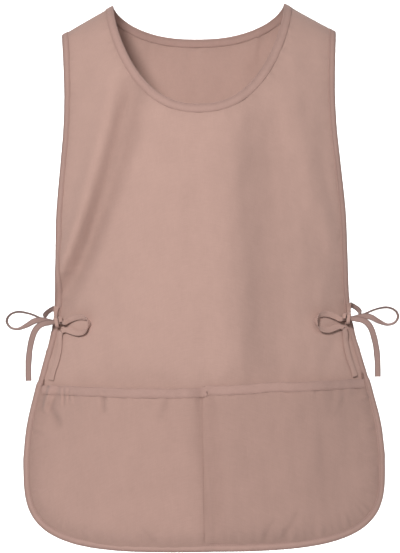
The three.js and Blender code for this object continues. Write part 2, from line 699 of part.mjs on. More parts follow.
function tie(hand, panel, route) {
  const knotAt = placeAt(hand * (halfWidth(TIE_DROP / LENGTH) - KNOT_INSET), -TIE_DROP - KNOT_DROP);
  const knot = front.point(knotAt);
  knot.y -= KNOT_LIFT;
  const { start, wide } = tieStart(panel, hand);
  const points = [start];
  const widths = [wide];
  const shares = [1];
  for (const stop of route) {
    points.push(new THREE.Vector3(knot.x + hand * stop.out, knot.y - stop.fore, knot.z + stop.up));
    widths.push(new THREE.Vector3(hand * stop.wide[0], -stop.wide[1], stop.wide[2]));
    shares.push(stop.share);
  }
  return tape(points, widths, shares);
}

function material(colour, roughness) {
  return new THREE.MeshStandardMaterial({ color: colour, roughness, metalness: 0 });
}

const apron = new THREE.Group();

function add(name, geometry, colour, roughness) {
  const mesh = new THREE.Mesh(geometry, material(colour, roughness));
  mesh.name = name;
  apron.add(mesh);
}

const pocket = pocketRows();
add("front_panel", panelCloth(front, frontCut), CLOTH_COLOUR, 0.9);
add("back_panel", panelCloth(back, backCut), CLOTH_COLOUR, 0.9);
add("pocket_panel", cloth(front, [pocket], pocketLift), CLOTH_COLOUR, 0.9);
add("pocket_band", binding(bandStations(pocket), BINDING_WALL, false), BINDING_COLOUR, 0.85);
add("neck_binding", neckBinding(), BINDING_COLOUR, 0.85);
add("front_edge_binding", edgeBinding(front, frontCut), BINDING_COLOUR, 0.85);
add("back_edge_binding", edgeBinding(back, backCut), BINDING_COLOUR, 0.85);
for (const [side, hand] of [["left", -1], ["right", 1]]) {
  add(`${side}_front_tie`, tie(hand, front, FRONT_TIE_ROUTE), TIE_COLOUR, 0.85);
  add(`${side}_back_tie`, tie(hand, back, BACK_TIE_ROUTE), TIE_COLOUR, 0.85);
}

export default apron;
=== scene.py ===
"""Cobbler apron in dusty rose twill, in the form that it has when worn: two panels joined at the
shoulders, a divided pocket, bound edges, and a bow of two ties at each side.

Metres, Z up, the front faces -Y. The origin is halfway between the neck ends of the shoulder seams.
A place on a panel is (x, root): x across, and the square root of the way down from the seam line.
"""

import bpy
import numpy as np
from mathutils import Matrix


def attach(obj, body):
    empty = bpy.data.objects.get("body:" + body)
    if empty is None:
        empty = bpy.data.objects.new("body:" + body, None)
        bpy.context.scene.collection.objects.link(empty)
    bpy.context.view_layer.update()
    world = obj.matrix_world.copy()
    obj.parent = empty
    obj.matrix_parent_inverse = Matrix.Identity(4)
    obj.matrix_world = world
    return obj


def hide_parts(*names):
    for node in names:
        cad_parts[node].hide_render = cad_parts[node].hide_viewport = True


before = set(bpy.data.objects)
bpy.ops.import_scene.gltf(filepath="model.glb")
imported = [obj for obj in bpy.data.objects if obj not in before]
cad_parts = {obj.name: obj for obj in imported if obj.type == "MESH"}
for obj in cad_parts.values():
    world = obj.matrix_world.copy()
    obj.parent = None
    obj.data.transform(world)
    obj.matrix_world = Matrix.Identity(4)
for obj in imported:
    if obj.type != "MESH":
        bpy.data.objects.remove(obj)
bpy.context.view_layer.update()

# Front panel
# One length of poly-cotton twill, cut to a deep round neckline and a hem with rounded corners. It
# hangs from the shoulders over the chest, and its sides are drawn back a little by the ties.
LENGTH = 0.719
HEM_WIDTH = 0.476
NECK_WIDTH = 0.231
SHOULDER_WIDTH = 0.363
SHOULDER_DROP = 0.037
HEM_CORNER_HEIGHT = 0.118
HEM_SQUARENESS = 3.9
CLOTH = 0.0012
FOLD_HEIGHT = 0.008
FOLD_WIDTH = 0.024
WAVE_HEIGHT = 0.0004
SEAM_GAP = 0.0003
PUCKER_HEIGHT, PUCKER_REACH = 0.0008, 0.017
PUCKER_START, PUCKER_RISE = 0.005, 0.006
# Widths of the painted shade beside the bound edges and at the shoulder seams
EDGE_SHADE, SHOULDER_SHADE = 0.0125, 0.033
# How far off a place its slopes are measured
PROBE = 0.0002
# Side edge: down in shares of the length, out in shares of half the hem's width
SIDE_ROWS = np.array([
    (0.051, 0.763), (0.1, 0.753), (0.17, 0.747), (0.235, 0.755), (0.3, 0.774), (0.39, 0.8), (0.47, 0.809),
    (0.54, 0.817), (0.6, 0.838), (0.66, 0.888), (0.72, 0.938), (0.78, 0.981), (0.836, 1.0),
])
# Depth: down, share of the depth at the middle, and what is left of that at the side edge
FRONT_SECTIONS = np.array([
    (0.05, 1.0, 0.62), (0.12, 1.0, 0.55), (0.22, 1.0, 0.46), (0.35, 1.0, 0.38), (0.46, 0.99, 0.27),
    (0.56, 0.97, 0.15), (0.66, 0.97, 0.19), (0.8, 0.98, 0.25), (1.0, 0.99, 0.28),
])
# Folds: from, to, across at each end, bow, height at each end, width at each end
FRONT_FOLDS = [
    (0.06, 0.6, -0.452, -0.93, 1.6, 1.5, 1.9, 0.98, 0.48),
    (0.06, 0.6, -0.33, -0.84, 1.6, -1.1, -1.5, 0.92, 0.52),
    (0.06, 0.62, -0.6, -1.06, 1.6, 0.9, 0.9, 1.15, 0.8),
    (0.12, 0.5, 0.5, 0.78, 1.5, 0.35, 0.35, 1.0, 0.5),
    (0.1, 0.78, 0.15, 0.13, 1.0, 0.35, 0.5, 1.1, 1.3),
    (0.13, 0.78, 0.32, 0.335, 1.0, -0.9, -1.0, 1.25, 1.45),
    (0.22, 0.72, -0.28, -0.38, 1.0, 0.1, 0.4, 1.4, 2.0),
    (0.52, 1.3, 0.0, 0.1, 1.0, -0.2, -0.5, 0.6, 0.8),
]
# Creases in millimetres: x and z of both ends, width, height
FRONT_CREASES = [
    (-92, -110, -150, -320, 7, -1.6), (-60, -150, -70, -330, 14, 0.8), (60, -160, 74, -420, 12, -0.8),
    (150, -170, 178, -300, 8, -0.8), (-178, -330, -150, -385, 7, 0.9), (-190, -415, -165, -470, 6, -0.8),
    (176, -345, 150, -400, 8, 0.8), (186, -425, 160, -480, 7, -0.8), (-120, -60, -150, -130, 9, 0.7),
    (118, -50, 140, -120, 9, 0.6), (20, -150, 34, -300, 16, 0.5),
]
FRONT = {
    "facing": -1, "depth": 0.088, "run": 0.24, "neck_drop": 0.139,
    "sections": FRONT_SECTIONS, "folds": FRONT_FOLDS, "creases": FRONT_CREASES,
}
SEAM_COLUMNS, NECK_COLUMNS, PANEL_ROWS = 20, 128, 268


def smooth_table(rows, column, at):
    """Cubic pieces through a table's rows, with each slope taken from the rows on both sides."""
    knots, values = rows[:, 0], rows[:, column]
    at = np.clip(at, knots[0], knots[-1])
    k = np.clip(np.searchsorted(knots, at) - 1, 0, len(knots) - 2)
    before = np.maximum(np.arange(len(knots)) - 1, 0)
    after = np.minimum(np.arange(len(knots)) + 1, len(knots) - 1)
    slope = (values[after] - values[before]) / (knots[after] - knots[before])
    step = knots[k + 1] - knots[k]
    t = (at - knots[k]) / step
    rise, fall, change = slope[k] * step, slope[k + 1] * step, values[k + 1] - values[k]
    return values[k] + t * (rise + t * (3 * change - 2 * rise - fall + t * (rise + fall - 2 * change)))


def mix(a, b, t):
    """a at 0, b at 1, and a straight way between."""
    return a + (b - a) * t


def half_width(down):
    """Half the panel's width at a share of the way down."""
    return HEM_WIDTH / 2 * smooth_table(SIDE_ROWS, 1, down)


def seam_height(x):
    """Height of the shoulder seams: a hyperbola, 0 at the neck points, the shoulder drop at the ends."""
    arch = np.hypot(x, NECK_WIDTH / 4)
    neck, end = np.hypot(NECK_WIDTH / 2, NECK_WIDTH / 4), np.hypot(SHOULDER_WIDTH / 2, NECK_WIDTH / 4)
    return -SHOULDER_DROP * (arch - neck) / (end - neck)


def root_at(x, z):
    """The second number of the place at x and z."""
    return np.sqrt(np.maximum(0, seam_height(x) - z))


def fold_height(panel, x, down):
    """Each fold is height * exp(-((x - middle) / width)^2), faded in and out along its own way down."""
    total = np.zeros(np.broadcast(x, down).shape)
    for start, end, across, to_across, bow, high, to_high, wide, to_wide in panel["folds"]:
        t = np.clip((down - start) / (end - start), 0, 1)
        middle = HEM_WIDTH / 2 * mix(across, to_across, t**bow)
        fade = np.minimum(1, np.minimum(4 * t, 4 * (1 - t)))
        width = FOLD_WIDTH * mix(wide, to_wide, t)
        total += fade**2 * (3 - 2 * fade) * mix(high, to_high, t) * np.exp(-(((x - middle) / width) ** 2))
    return FOLD_HEIGHT * total


def crease_height(rows, x, z):
    """Each crease is height * exp(-(distance to its line / width)^2), tapered to nothing at its ends."""
    total = np.zeros(np.broadcast(x, z).shape)
    for x1, z1, x2, z2, width, height in np.array(rows) / 1000:
        run = np.hypot(x2 - x1, z2 - z1)
        t = ((x - x1) * (x2 - x1) + (z - z1) * (z2 - z1)) / run**2
        off = ((x - x1) * (z2 - z1) - (z - z1) * (x2 - x1)) / run
        total += height * np.clip(4 * t * (1 - t), 0, 1) ** 0.8 * np.exp(-((off / width) ** 2))
    return total


def slight_waves(x, z):
    """Two crossed pairs of sines of unlike lengths, for cloth that never hangs quite flat."""
    long = np.sin(2 * np.pi * (x / 0.041 + z / 0.23)) * np.sin(2 * np.pi * (z / 0.13 - x / 0.17) + 0.7)
    short = np.sin(2 * np.pi * (x / 0.023 - z / 0.16) + 2) * np.sin(2 * np.pi * (z / 0.083 + x / 0.11) + 1.1)
    return WAVE_HEIGHT * (long + 0.5 * short)


def cloth_at(panel, x, root):
    """Outer face of a panel: z = seam - root^2, y = depth * dome * left + folds, where the dome is a
    quarter circle over the shoulder and left = 1 - (1 - edge) * (|x| / half width)^2.2."""
    fall = root**2
    z = seam_height(x) - fall
    down = np.maximum(0, -z / LENGTH)
    dome = np.sqrt(1 - (1 - np.minimum(fall / panel["run"], 1)) ** 2)
    edge = smooth_table(panel["sections"], 2, down)
    left = 1 - (1 - edge) * (np.abs(x) / half_width(down)) ** 2.2
    out = panel["depth"] * smooth_table(panel["sections"], 1, down) * left * dome
    out = out + fold_height(panel, x, down) + crease_height(panel["creases"], x, z)
    out = out + dome * slight_waves(x, z)
    return np.stack([x, panel["facing"] * (out + SEAM_GAP / 2), z], axis=-1)


def outward(surface, facing, x, root):
    """Unit normal of a surface, from its slopes across and down, turned to its outer side."""
    root = np.maximum(root, PROBE)
    across = surface(x + PROBE, root) - surface(x - PROBE, root)
    down = surface(x, root + PROBE) - surface(x, root - PROBE)
    normal = np.cross(across, down) * facing
    return normal / np.linalg.norm(normal, axis=-1, keepdims=True)


def evenly(surface, edge, steps):
    """Places at even distances along an edge, which is a function from 0 to 1 to x and root."""
    fine = np.linspace(0, 1, 3000)
    points = surface(*edge(fine))
    way = np.concatenate([[0], np.cumsum(np.linalg.norm(np.diff(points, axis=0), axis=1))])
    return edge(np.interp(np.linspace(0, way[-1], steps + 1), way, fine))


def neckline(panel, share):
    """A U: x = half neck * |cos|^0.84, z = -drop * sin^1.38, from left to right."""
    turn = np.pi * (1 - share)
    x = NECK_WIDTH / 2 * np.sign(np.cos(turn)) * np.abs(np.cos(turn)) ** 0.84
    z = -panel["neck_drop"] * np.clip(np.sin(turn), 0, 1) ** 1.38
    end = (share <= 0) | (share >= 1)
    return x, np.where(end, 0, root_at(x, z))


def hem(share):
    """Half a superellipse: x = half hem * |cos|^(2/n), z = corner - height * sin^(2/n)."""
    turn = np.pi * (1 - share)
    x = HEM_WIDTH / 2 * np.sign(np.cos(turn)) * np.abs(np.cos(turn)) ** (2 / HEM_SQUARENESS)
    z = HEM_CORNER_HEIGHT - LENGTH - HEM_CORNER_HEIGHT * np.clip(np.sin(turn), 0, 1) ** (2 / HEM_SQUARENESS)
    return x, root_at(x, z)


def side(hand, share):
    """The side edge, from the end of the shoulder seam down to the hem's corner."""
    down = mix(SHOULDER_DROP, LENGTH - HEM_CORNER_HEIGHT, share) / LENGTH
    x = hand * half_width(down)
    return x, np.where(share <= 0, 0, root_at(x, -down * LENGTH))


def panel_places(panel):
    """Grid of places between the seams and neckline above, the sides and the hem, as straight blends
    of the top row into the hem, scaled to the width between the sides."""
    surface = lambda x, root: cloth_at(panel, x, root)
    neck_x, neck_root = evenly(surface, lambda share: neckline(panel, share), NECK_COLUMNS)
    seam = np.linspace(SHOULDER_WIDTH / 2, NECK_WIDTH / 2, SEAM_COLUMNS + 1)[:-1]
    top_x = np.concatenate([-seam, neck_x, seam[::-1]])
    top_root = np.concatenate([0 * seam, neck_root, 0 * seam])
    hem_x, hem_root = evenly(surface, hem, len(top_x) - 1)
    t = (np.linspace(0, 1, PANEL_ROWS + 1) ** 1.4)[:, None]
    side_x, _ = side(1, t)
    wide = side_x / mix(side_x[0], side_x[-1], t)
    x = mix(top_x, hem_x, t) * wide
    fall = mix(top_root**2, hem_root**2, t)
    root = np.sqrt(fall)
    _, root[:, [0]] = side(-1, t)
    _, root[:, [-1]] = side(1, t)
    return x, root


def grid_faces(rows, columns, flip=False):
    """Four corners of each cell of a grid of points."""
    k = np.arange(rows * columns).reshape(rows, columns)
    faces = np.stack([k[:-1, :-1], k[1:, :-1], k[1:, 1:], k[:-1, 1:]], axis=-1).reshape(-1, 4)
    return faces[:, ::-1] if flip else faces


def add_piece(name, points, faces, material, uv=None, caps=()):
    """A new mesh object from points, faces of four corners, cap faces, and a UV for each point."""
    mesh = bpy.data.meshes.new(name)
    mesh.from_pydata(points.reshape(-1, 3).tolist(), [], faces.tolist() + [list(c) for c in caps], False)
    if uv is not None:
        corner = np.zeros(len(mesh.loops), np.int32)
        mesh.loops.foreach_get("vertex_index", corner)
        mesh.uv_layers.new(name="cloth").data.foreach_set("uv", uv.reshape(-1, 2)[corner].ravel())
    mesh.materials.append(material)
    piece = bpy.data.objects.new(name, mesh)
    bpy.context.scene.collection.objects.link(piece)
    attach(piece, "root")
    return piece


def shade_points(piece, values):
    """Stores how much painted shade darkens each point's cloth, for the materials to read."""
    shade = piece.data.attributes.new("seam", "FLOAT", "POINT")
    shade.data.foreach_set("value", values.ravel())


def spread_noise(s, seed):
    """A few sines of unlike lengths, between about -1 and 1."""
    lengths = np.array([0.0113, 0.0172, 0.0291, 0.0467]) * (1 + 0.07 * seed)
    phases = np.array([0.4, 1.9, 3.1, 5.2]) * (1 + 0.31 * seed)
    return np.sin(2 * np.pi * s[..., None] / lengths + phases).mean(axis=-1) * 1.6


def seam_puckers(points, edge, reach, seed):
    """Height of the puckers beside a sewn edge: noise along it, dying away as exp(-(distance / reach)^2)
    and flat under the binding, and the distance itself, to shade the cloth beside the seam."""
    way = np.concatenate([[0], np.cumsum(np.linalg.norm(np.diff(edge, axis=0), axis=1))])
    gaps = [np.linalg.norm(row[:, None] - edge[None], axis=-1) for row in points]
    near = np.array([gap.min(axis=1) for gap in gaps])
    place = way[np.array([gap.argmin(axis=1) for gap in gaps])]
    free = np.clip((near - PUCKER_START) / PUCKER_RISE, 0, 1)
    return spread_noise(place, seed) * np.exp(-((near / reach) ** 2)) * free, near


def put(tree, kind, inputs, **fields):
    """Adds a node with its fields, and sets or joins its inputs, by name or number."""
    node = tree.nodes.new(kind)
    for field, value in fields.items():
        setattr(node, field, value)
    for key, value in inputs.items():
        if isinstance(value, bpy.types.NodeSocket):
            tree.links.new(value, node.inputs[key])
        else:
            node.inputs[key].default_value = value
    return node


def calc(tree, operation, *values):
    """The result of a math node."""
    return put(tree, "ShaderNodeMath", dict(enumerate(values)), operation=operation).outputs[0]


def new_group(name, inputs, outputs):
    """An empty shader node group, its first and last nodes, and its named sockets."""
    group = bpy.data.node_groups.new(name, "ShaderNodeTree")
    for socket, kind in inputs:
        group.interface.new_socket(socket, in_out="INPUT", socket_type=kind)
    for socket, kind in outputs:
        group.interface.new_socket(socket, in_out="OUTPUT", socket_type=kind)
    return group, group.nodes.new("NodeGroupInput"), group.nodes.new("NodeGroupOutput")


def twill_weave():
    """Twill: ribs = sin of (u + 0.55 v) / spacing, broken by the crossing yarns, with thin uneven yarns
    drawn out along the warp and the weft."""
    group, start, end = new_group(
        "twill weave",
        [("Vector", "NodeSocketVector"), ("Spacing", "NodeSocketFloat"), ("Slub", "NodeSocketFloat")],
        [("Shade", "NodeSocketFloat"), ("Height", "NodeSocketFloat")],
    )
    flat = put(group, "ShaderNodeSeparateXYZ", {0: start.outputs["Vector"]})
    u = calc(group, "DIVIDE", flat.outputs[0], start.outputs["Spacing"])
    v = calc(group, "DIVIDE", flat.outputs[1], start.outputs["Spacing"])
    slant = calc(group, "MULTIPLY_ADD", v, 0.55, u)
    rib = calc(group, "SINE", calc(group, "MULTIPLY", slant, 2 * np.pi))
    yarn = calc(group, "SINE", calc(group, "MULTIPLY", v, 3.4 * np.pi))
    crossed = calc(group, "MULTIPLY", rib, yarn)
    weave = calc(group, "MULTIPLY_ADD", crossed, 0.25, calc(group, "MULTIPLY", rib, 0.5))
    slub = []
    for stretch in ((1900, 90, 1), (70, 1500, 1)):
        drawn = put(group, "ShaderNodeVectorMath", {0: start.outputs[0], 1: stretch}, operation="MULTIPLY")
        slub.append(put(group, "ShaderNodeTexNoise", {0: drawn.outputs[0], "Scale": 1.0, "Detail": 2.0}))
    slubs = calc(group, "ADD", slub[0].outputs[0], slub[1].outputs[0])
    slubs = calc(group, "MULTIPLY", calc(group, "SUBTRACT", slubs, 1.0), start.outputs["Slub"])
    shade = calc(group, "ADD", calc(group, "MULTIPLY", weave, 0.35), slubs)
    group.links.new(shade, end.inputs["Shade"])
    group.links.new(calc(group, "ADD", weave, calc(group, "MULTIPLY", slubs, 0.6)), end.inputs["Height"])
    return group


def soft_tone():
    """Uneven tone of dyed cloth: broad clouds and small flecks of noise, about 0."""
    group, start, end = new_group(
        "uneven dye", [("Vector", "NodeSocketVector")], [("Tone", "NodeSocketFloat")]
    )
    broad = put(group, "ShaderNodeTexNoise", {"Vector": start.outputs[0], "Scale": 30.0, "Detail": 3.0})
    small = put(group, "ShaderNodeTexNoise", {"Vector": start.outputs[0], "Scale": 220.0, "Detail": 2.0})
    both = calc(group, "MULTIPLY_ADD", small.outputs[0], 0.5, broad.outputs[0])
    group.links.new(calc(group, "SUBTRACT", both, 0.75), end.inputs[0])
    return group


TWILL, DYE = twill_weave(), soft_tone()


def tint(tree, colour, shade):
    """Joins a colour times a shade to the material's base colour."""
    tinted = put(
        tree, "ShaderNodeMix", {0: 1.0, 6: (*colour, 1), 7: shade}, data_type="RGBA", blend_type="MULTIPLY",
    )
    tree.links.new(tinted.outputs[2], tree.nodes["Principled BSDF"].inputs["Base Color"])


def cloth_material(name, colour, spacing, rough, painted_shade, turn=0.0, bump=0.00012):
    """Woven cloth: its colour times the dye's and the weave's shades, darker by painted shade where the
    seam attribute is high, with the weave as a bump."""
    material = bpy.data.materials.new(name)
    material.use_nodes = True
    tree = material.node_tree
    shader = tree.nodes["Principled BSDF"]
    flat = put(tree, "ShaderNodeUVMap", {}, uv_map="cloth")
    turned = put(tree, "ShaderNodeMapping", {"Vector": flat.outputs[0], "Rotation": (0, 0, turn)})
    weave = put(tree, "ShaderNodeGroup", {}, node_tree=TWILL)
    tree.links.new(turned.outputs[0], weave.inputs["Vector"])
    weave.inputs["Spacing"].default_value = spacing
    weave.inputs["Slub"].default_value = 0.5
    place = put(tree, "ShaderNodeTexCoord", {})
    dye = put(tree, "ShaderNodeGroup", {}, node_tree=DYE)
    tree.links.new(place.outputs["Object"], dye.inputs["Vector"])
    seam = put(tree, "ShaderNodeAttribute", {}, attribute_name="seam")
    shade = calc(tree, "MULTIPLY_ADD", weave.outputs["Shade"], 0.22, 1.0)
    shade = calc(tree, "MULTIPLY_ADD", dye.outputs["Tone"], 0.1, shade)
    # painted shade: darker where the seam attribute is high
    shade = calc(tree, "MULTIPLY_ADD", seam.outputs["Fac"], -painted_shade, shade)
    tint(tree, colour, shade)
    ribs = {"Height": weave.outputs["Height"], "Strength": 0.6, "Distance": bump}
    tree.links.new(put(tree, "ShaderNodeBump", ribs).outputs[0], shader.inputs["Normal"])
    shader.inputs["Roughness"].default_value = rough
    shader.inputs["Sheen Weight"].default_value = 0.12
    shader.inputs["Sheen Roughness"].default_value = 0.6
    shader.inputs["Specular IOR Level"].default_value = 0.2
    return material


def add_panel(name, panel, x, root, material, seed, edges):
    """A panel's cloth, with puckers along its sewn edges, and painted shade beside them, in the hollows of
    its folds and at the shoulder seams."""
    points = cloth_at(panel, x, root)
    normal = outward(lambda x, root: cloth_at(panel, x, root), panel["facing"], x, root)
    ripple, near = np.zeros(x.shape), np.full(x.shape, 1.0)
    for edge in edges:
        more, gap = seam_puckers(points, edge, PUCKER_REACH, seed)
        ripple, near = ripple + more, np.minimum(near, gap)
    points = points + normal * (PUCKER_HEIGHT * ripple)[..., None]
    flat = np.stack([x, -LENGTH * root**1.05], axis=-1)
    piece = add_piece(name, points, grid_faces(*x.shape, flip=panel["facing"] > 0), material, uv=flat)
    # painted shade: beside the bound edges, in the hollows of the folds, and at the shoulder seams
    hollow_shade = np.clip(-fold_height(panel, x, -points[..., 2] / LENGTH) / FOLD_HEIGHT, 0, 1)
    beside, seam = np.exp(-((near / EDGE_SHADE) ** 2)), np.exp(-((root / SHOULDER_SHADE) ** 4))
    shade_points(piece, beside + 1.5 * hollow_shade + 4 * seam)
    wall = piece.modifiers.new("cloth", "SOLIDIFY")
    wall.thickness, wall.offset = CLOTH, -1
    return piece


TWILL_CLOTH = cloth_material("rose twill", (0.480, 0.308, 0.260), 0.00075, 0.9, painted_shade=0.1)
front_surface = lambda x, root: cloth_at(FRONT, x, root)
front_x, front_root = panel_places(FRONT)
FRONT_NECK = evenly(front_surface, lambda share: neckline(FRONT, share), 260)
LEFT_SIDE = evenly(front_surface, lambda share: side(-1, share), 230)
HEM = evenly(front_surface, hem, 260)
RIGHT_SIDE = evenly(front_surface, lambda share: side(1, 1 - share), 230)
FRONT_RIM = [np.concatenate([LEFT_SIDE[k][:-1], HEM[k][:-1], RIGHT_SIDE[k]]) for k in (0, 1)]
front_panel = add_panel(
    "front_panel_cloth", FRONT, front_x, front_root, TWILL_CLOTH, 1,
    [front_surface(*FRONT_NECK), front_surface(*FRONT_RIM)],
)
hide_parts("front_panel")

# Back panel
# The same twill and outline as the front, with a shallow neckline. It falls straight from the
# shoulder blades, so it stands out less, and its folds run down from the armholes to the ties.
BACK_SECTIONS = np.array([
    (0.05, 1.0, 0.6), (0.15, 1.0, 0.5), (0.3, 1.0, 0.4), (0.44, 0.98, 0.27), (0.56, 0.93, 0.15),
    (0.68, 0.95, 0.21), (0.82, 1.0, 0.27), (1.0, 1.02, 0.3),
])
BACK_FOLDS = [
    (0.08, 0.56, 0.4, 0.76, 1.5, 0.6, 0.5, 1.0, 0.5),
    (0.08, 0.56, -0.42, -0.76, 1.5, 0.5, 0.5, 1.0, 0.5),
    (0.3, 1.3, 0.12, 0.24, 1.0, -0.3, -0.8, 1.0, 1.6),
    (0.45, 1.3, -0.2, -0.37, 1.0, -0.2, -0.7, 1.0, 1.5),
]
BACK_CREASES = [
    (84, -12, 74, -75, 4, -1.4), (66, -14, 58, -190, 13, -4.0), (-150, -330, -110, -420, 8, 0.9),
    (150, -340, 112, -430, 8, 0.9), (-30, -200, -46, -420, 16, 0.8), (176, -420, 140, -500, 7, -0.9),
    (-176, -410, -140, -490, 7, -0.9), (-100, -60, -60, -110, 10, 0.5),
]
BACK = {
    "facing": 1, "depth": 0.075, "run": 0.15, "neck_drop": 0.04,
    "sections": BACK_SECTIONS, "folds": BACK_FOLDS, "creases": BACK_CREASES,
}
back_surface = lambda x, root: cloth_at(BACK, x, root)
back_x, back_root = panel_places(BACK)
BACK_NECK = evenly(back_surface, lambda share: neckline(BACK, share), 220)
BACK_RIM = [
    np.concatenate([part[:-1], middle[:-1], other])
    for part, middle, other in zip(
        evenly(back_surface, lambda share: side(-1, share), 230),
        evenly(back_surface, hem, 260),
        evenly(back_surface, lambda share: side(1, 1 - share), 230),
    )
]
back_panel = add_panel(
    "back_panel_cloth", BACK, back_x, back_root, TWILL_CLOTH, 2,
    [back_surface(*BACK_NECK), back_surface(*BACK_RIM)],
)
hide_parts("back_panel")

# Pocket
# One wide piece of twill over the lower front. Its sides and hem are caught in the edge binding, and
# it is sewn down along the middle, so that two pockets gape a little at their mouths.
POCKET_DROP = 0.505
POCKET_SMILE = 0.004
POCKET_GAPE, MOUTH_GAP = 0.012, 0.0012
MOUTH_STEP, STEP_START, STEP_WIDTH = 0.0035, -0.003, 0.008
POCKET_PUFF, PUFF_DRIFT, PUFF_WIDTH = 0.0045, 0.013, 0.015
POCKET_INSET = 0.0022
POCKET_SEAM = 0.008
POCKET_CLEARANCE = 0.0002
CLAMP_EASE = 0.0003
RIM_PUCKERS, RIM_REACH = 0.0011, 0.022
MOUTH_PUCKERS, MOUTH_REACH = 0.0009, 0.016
# Painted shade: its width at the rim, the crease depth that sets its darkness, the seam in the middle, the
# turned right half, and the line above the mouth
RIM_SHADE, HOLLOW_DEPTH = 0.02, 0.0012
SEAM_LEAN, SEAM_FAINTNESS = 0.012, 0.018
TURN_START, TURN_MIDDLE, TURN_WIDTH = 0.012, 0.04, 0.11
CONTACT_RISE, CONTACT_WIDTH = 0.001, 0.0025
POCKET_COLUMNS, POCKET_ROWS = 330, 110
# Creases as on the front panel, and those beside the seam in the middle
POCKET_CREASES = [
    (-187, -504, -204, -538, 4.5, -1.8), (-192, -498, -211, -540, 4.5, 5.0),
    (-204, -528, -184, -560, 6, -1.6), (-183, -505, -185, -534, 2.3, 1.4),
    (-176, -505, -177, -532, 2.3, 1.3), (-169, -505, -170, -530, 2.3, 1.1),
    (-180, -507, -181, -530, 1.6, -1.2), (-172, -507, -173, -528, 1.6, -1.1),
    (-125, -506, -126, -542, 3.5, -1.6), (-40, -508, -58, -552, 5, -0.8), (206, -520, 228, -530, 3, 0.5),
    (204, -545, 230, -552, 3, 0.6), (206, -572, 232, -577, 3, 0.5), (205, -598, 231, -601, 3, 0.4),
    (26, -520, 34, -600, 9, 0.7), (-22, -540, -16, -690, 9, 0.7), (96, -515, 110, -600, 14, 0.7),
    (-96, -560, -104, -690, 16, 0.8), (150, -560, 160, -690, 12, -0.6), (188, -512, 170, -550, 4, -0.7),
    (70, -712, 92, -676, 4, -0.9), (96, -710, 122, -668, 4, -0.9), (-60, -712, -84, -684, 4, -0.6),
]
SEAM_CREASES = [(-3, -512, 5, -585, 6, -1.6), (2, -560, 13, -705, 8, -1.8)]


def mouth_height(x):
    """The pocket's mouth: a shallow parabola, lowest at the middle, with a small step up to the right
    pocket."""
    step = np.clip((x - STEP_START) / STEP_WIDTH, 0, 1)
    smile = POCKET_SMILE * (1 - (x / (HEM_WIDTH / 2)) ** 2)
    return MOUTH_STEP * step**2 * (3 - 2 * step) - POCKET_DROP - smile


def pocket_at(x, root):
    """The pocket: off the front cloth by one cloth at its seams, at its mouth by
    gape * sin(pi |x| / half)^1.3, dying away as (1 - depth)^2, and by a puff on both sides of the
    seam in the middle, which drifts to the right on its way down. The space never goes below none: its
    negative part is eased away as (s + sqrt(s^2 + ease^2)) / 2."""
    z = seam_height(x) - root**2
    depth = np.clip((mouth_height(x) - z) / (LENGTH - POCKET_DROP), 0, 1)
    half = half_width(-mouth_height(x) / LENGTH) - POCKET_SEAM
    gape = np.clip(np.sin(np.pi * np.clip(np.abs(x) / half, 0, 1)), 0, 1) ** 1.3
    fade = np.clip(2.2 * (1 - np.abs(x) / half), 0, 1) * np.clip(7 * (1 - depth), 0, 1)
    beside = (x - PUFF_DRIFT * depth) / PUFF_WIDTH
    puff = POCKET_PUFF * (1 - np.exp(-(beside**2))) * fade**2 * (3 - 2 * fade)
    space = (MOUTH_GAP + POCKET_GAPE * gape) * (1 - depth) ** 2 + puff
    space = space + crease_height(POCKET_CREASES + SEAM_CREASES, x, z)
    lift = POCKET_CLEARANCE + CLOTH + (space + np.sqrt(space**2 + CLAMP_EASE**2)) / 2
    normal = outward(front_surface, -1, x, root)
    return front_surface(x, root) + normal * lift[..., None]


def moved_in(surface, facing, x, root, way, flip):
    """Places moved square to their edge along the surface: the way's share of each slope is solved
    from the slopes' own products."""
    held = np.maximum(root, PROBE)
    across = (surface(x + PROBE, held) - surface(x - PROBE, held)) / (2 * PROBE)
    down = (surface(x, held + PROBE) - surface(x, held - PROBE)) / (2 * PROBE)
    along = np.gradient(surface(x, root), axis=0)
    square = np.cross(outward(surface, facing, x, root), along) * flip
    square = square / np.linalg.norm(square, axis=-1, keepdims=True)
    aa, ad, dd = [(p * q).sum(axis=-1) for p, q in ((across, across), (across, down), (down, down))]
    a, d = (across * square).sum(axis=-1) * way, (down * square).sum(axis=-1) * way
    whole = aa * dd - ad**2
    return x + (a * dd - d * ad) / whole, np.maximum(0, root + (d * aa - a * ad) / whole)


hem_x, hem_root = moved_in(front_surface, -1, *evenly(front_surface, hem, POCKET_COLUMNS), POCKET_INSET, 1)
t = (np.linspace(0, 1, POCKET_ROWS + 1) ** 1.1)[:, None]
mouth_x = hem_x / hem_x[-1] * (half_width(POCKET_DROP / LENGTH) - POCKET_INSET)
level = mix(POCKET_DROP, LENGTH - HEM_CORNER_HEIGHT, t) / LENGTH
wide = (half_width(level) - POCKET_INSET) / mix(mouth_x[-1], hem_x[-1], t)
pocket_x = mix(mouth_x, hem_x, t) * wide
mouth_fall = seam_height(mouth_x) - mouth_height(mouth_x)
pocket_root = np.sqrt(mix(mouth_fall, hem_root**2, t))
points = pocket_at(pocket_x, pocket_root)
normal = outward(pocket_at, -1, pocket_x, pocket_root)
rim = np.concatenate([points[:-1, 0], points[-1], points[-2::-1, -1]])
ripple, near = seam_puckers(points, rim, RIM_REACH, 3)
more, _ = seam_puckers(points, points[0], MOUTH_REACH, 4)
points = points + normal * (RIM_PUCKERS * ripple + MOUTH_PUCKERS * more)[..., None]
# The same twill, painted darker as shade over the whole pocket, with deeper painted shade along its seams
SHADED_POCKET_CLOTH = cloth_material("pocket twill", (0.436, 0.276, 0.232), 0.00075, 0.9, painted_shade=0.17)
pocket = add_piece(
    "pocket_cloth", points, grid_faces(*pocket_x.shape), SHADED_POCKET_CLOTH,
    uv=np.stack([pocket_x, -LENGTH * pocket_root**1.05], axis=-1),
)
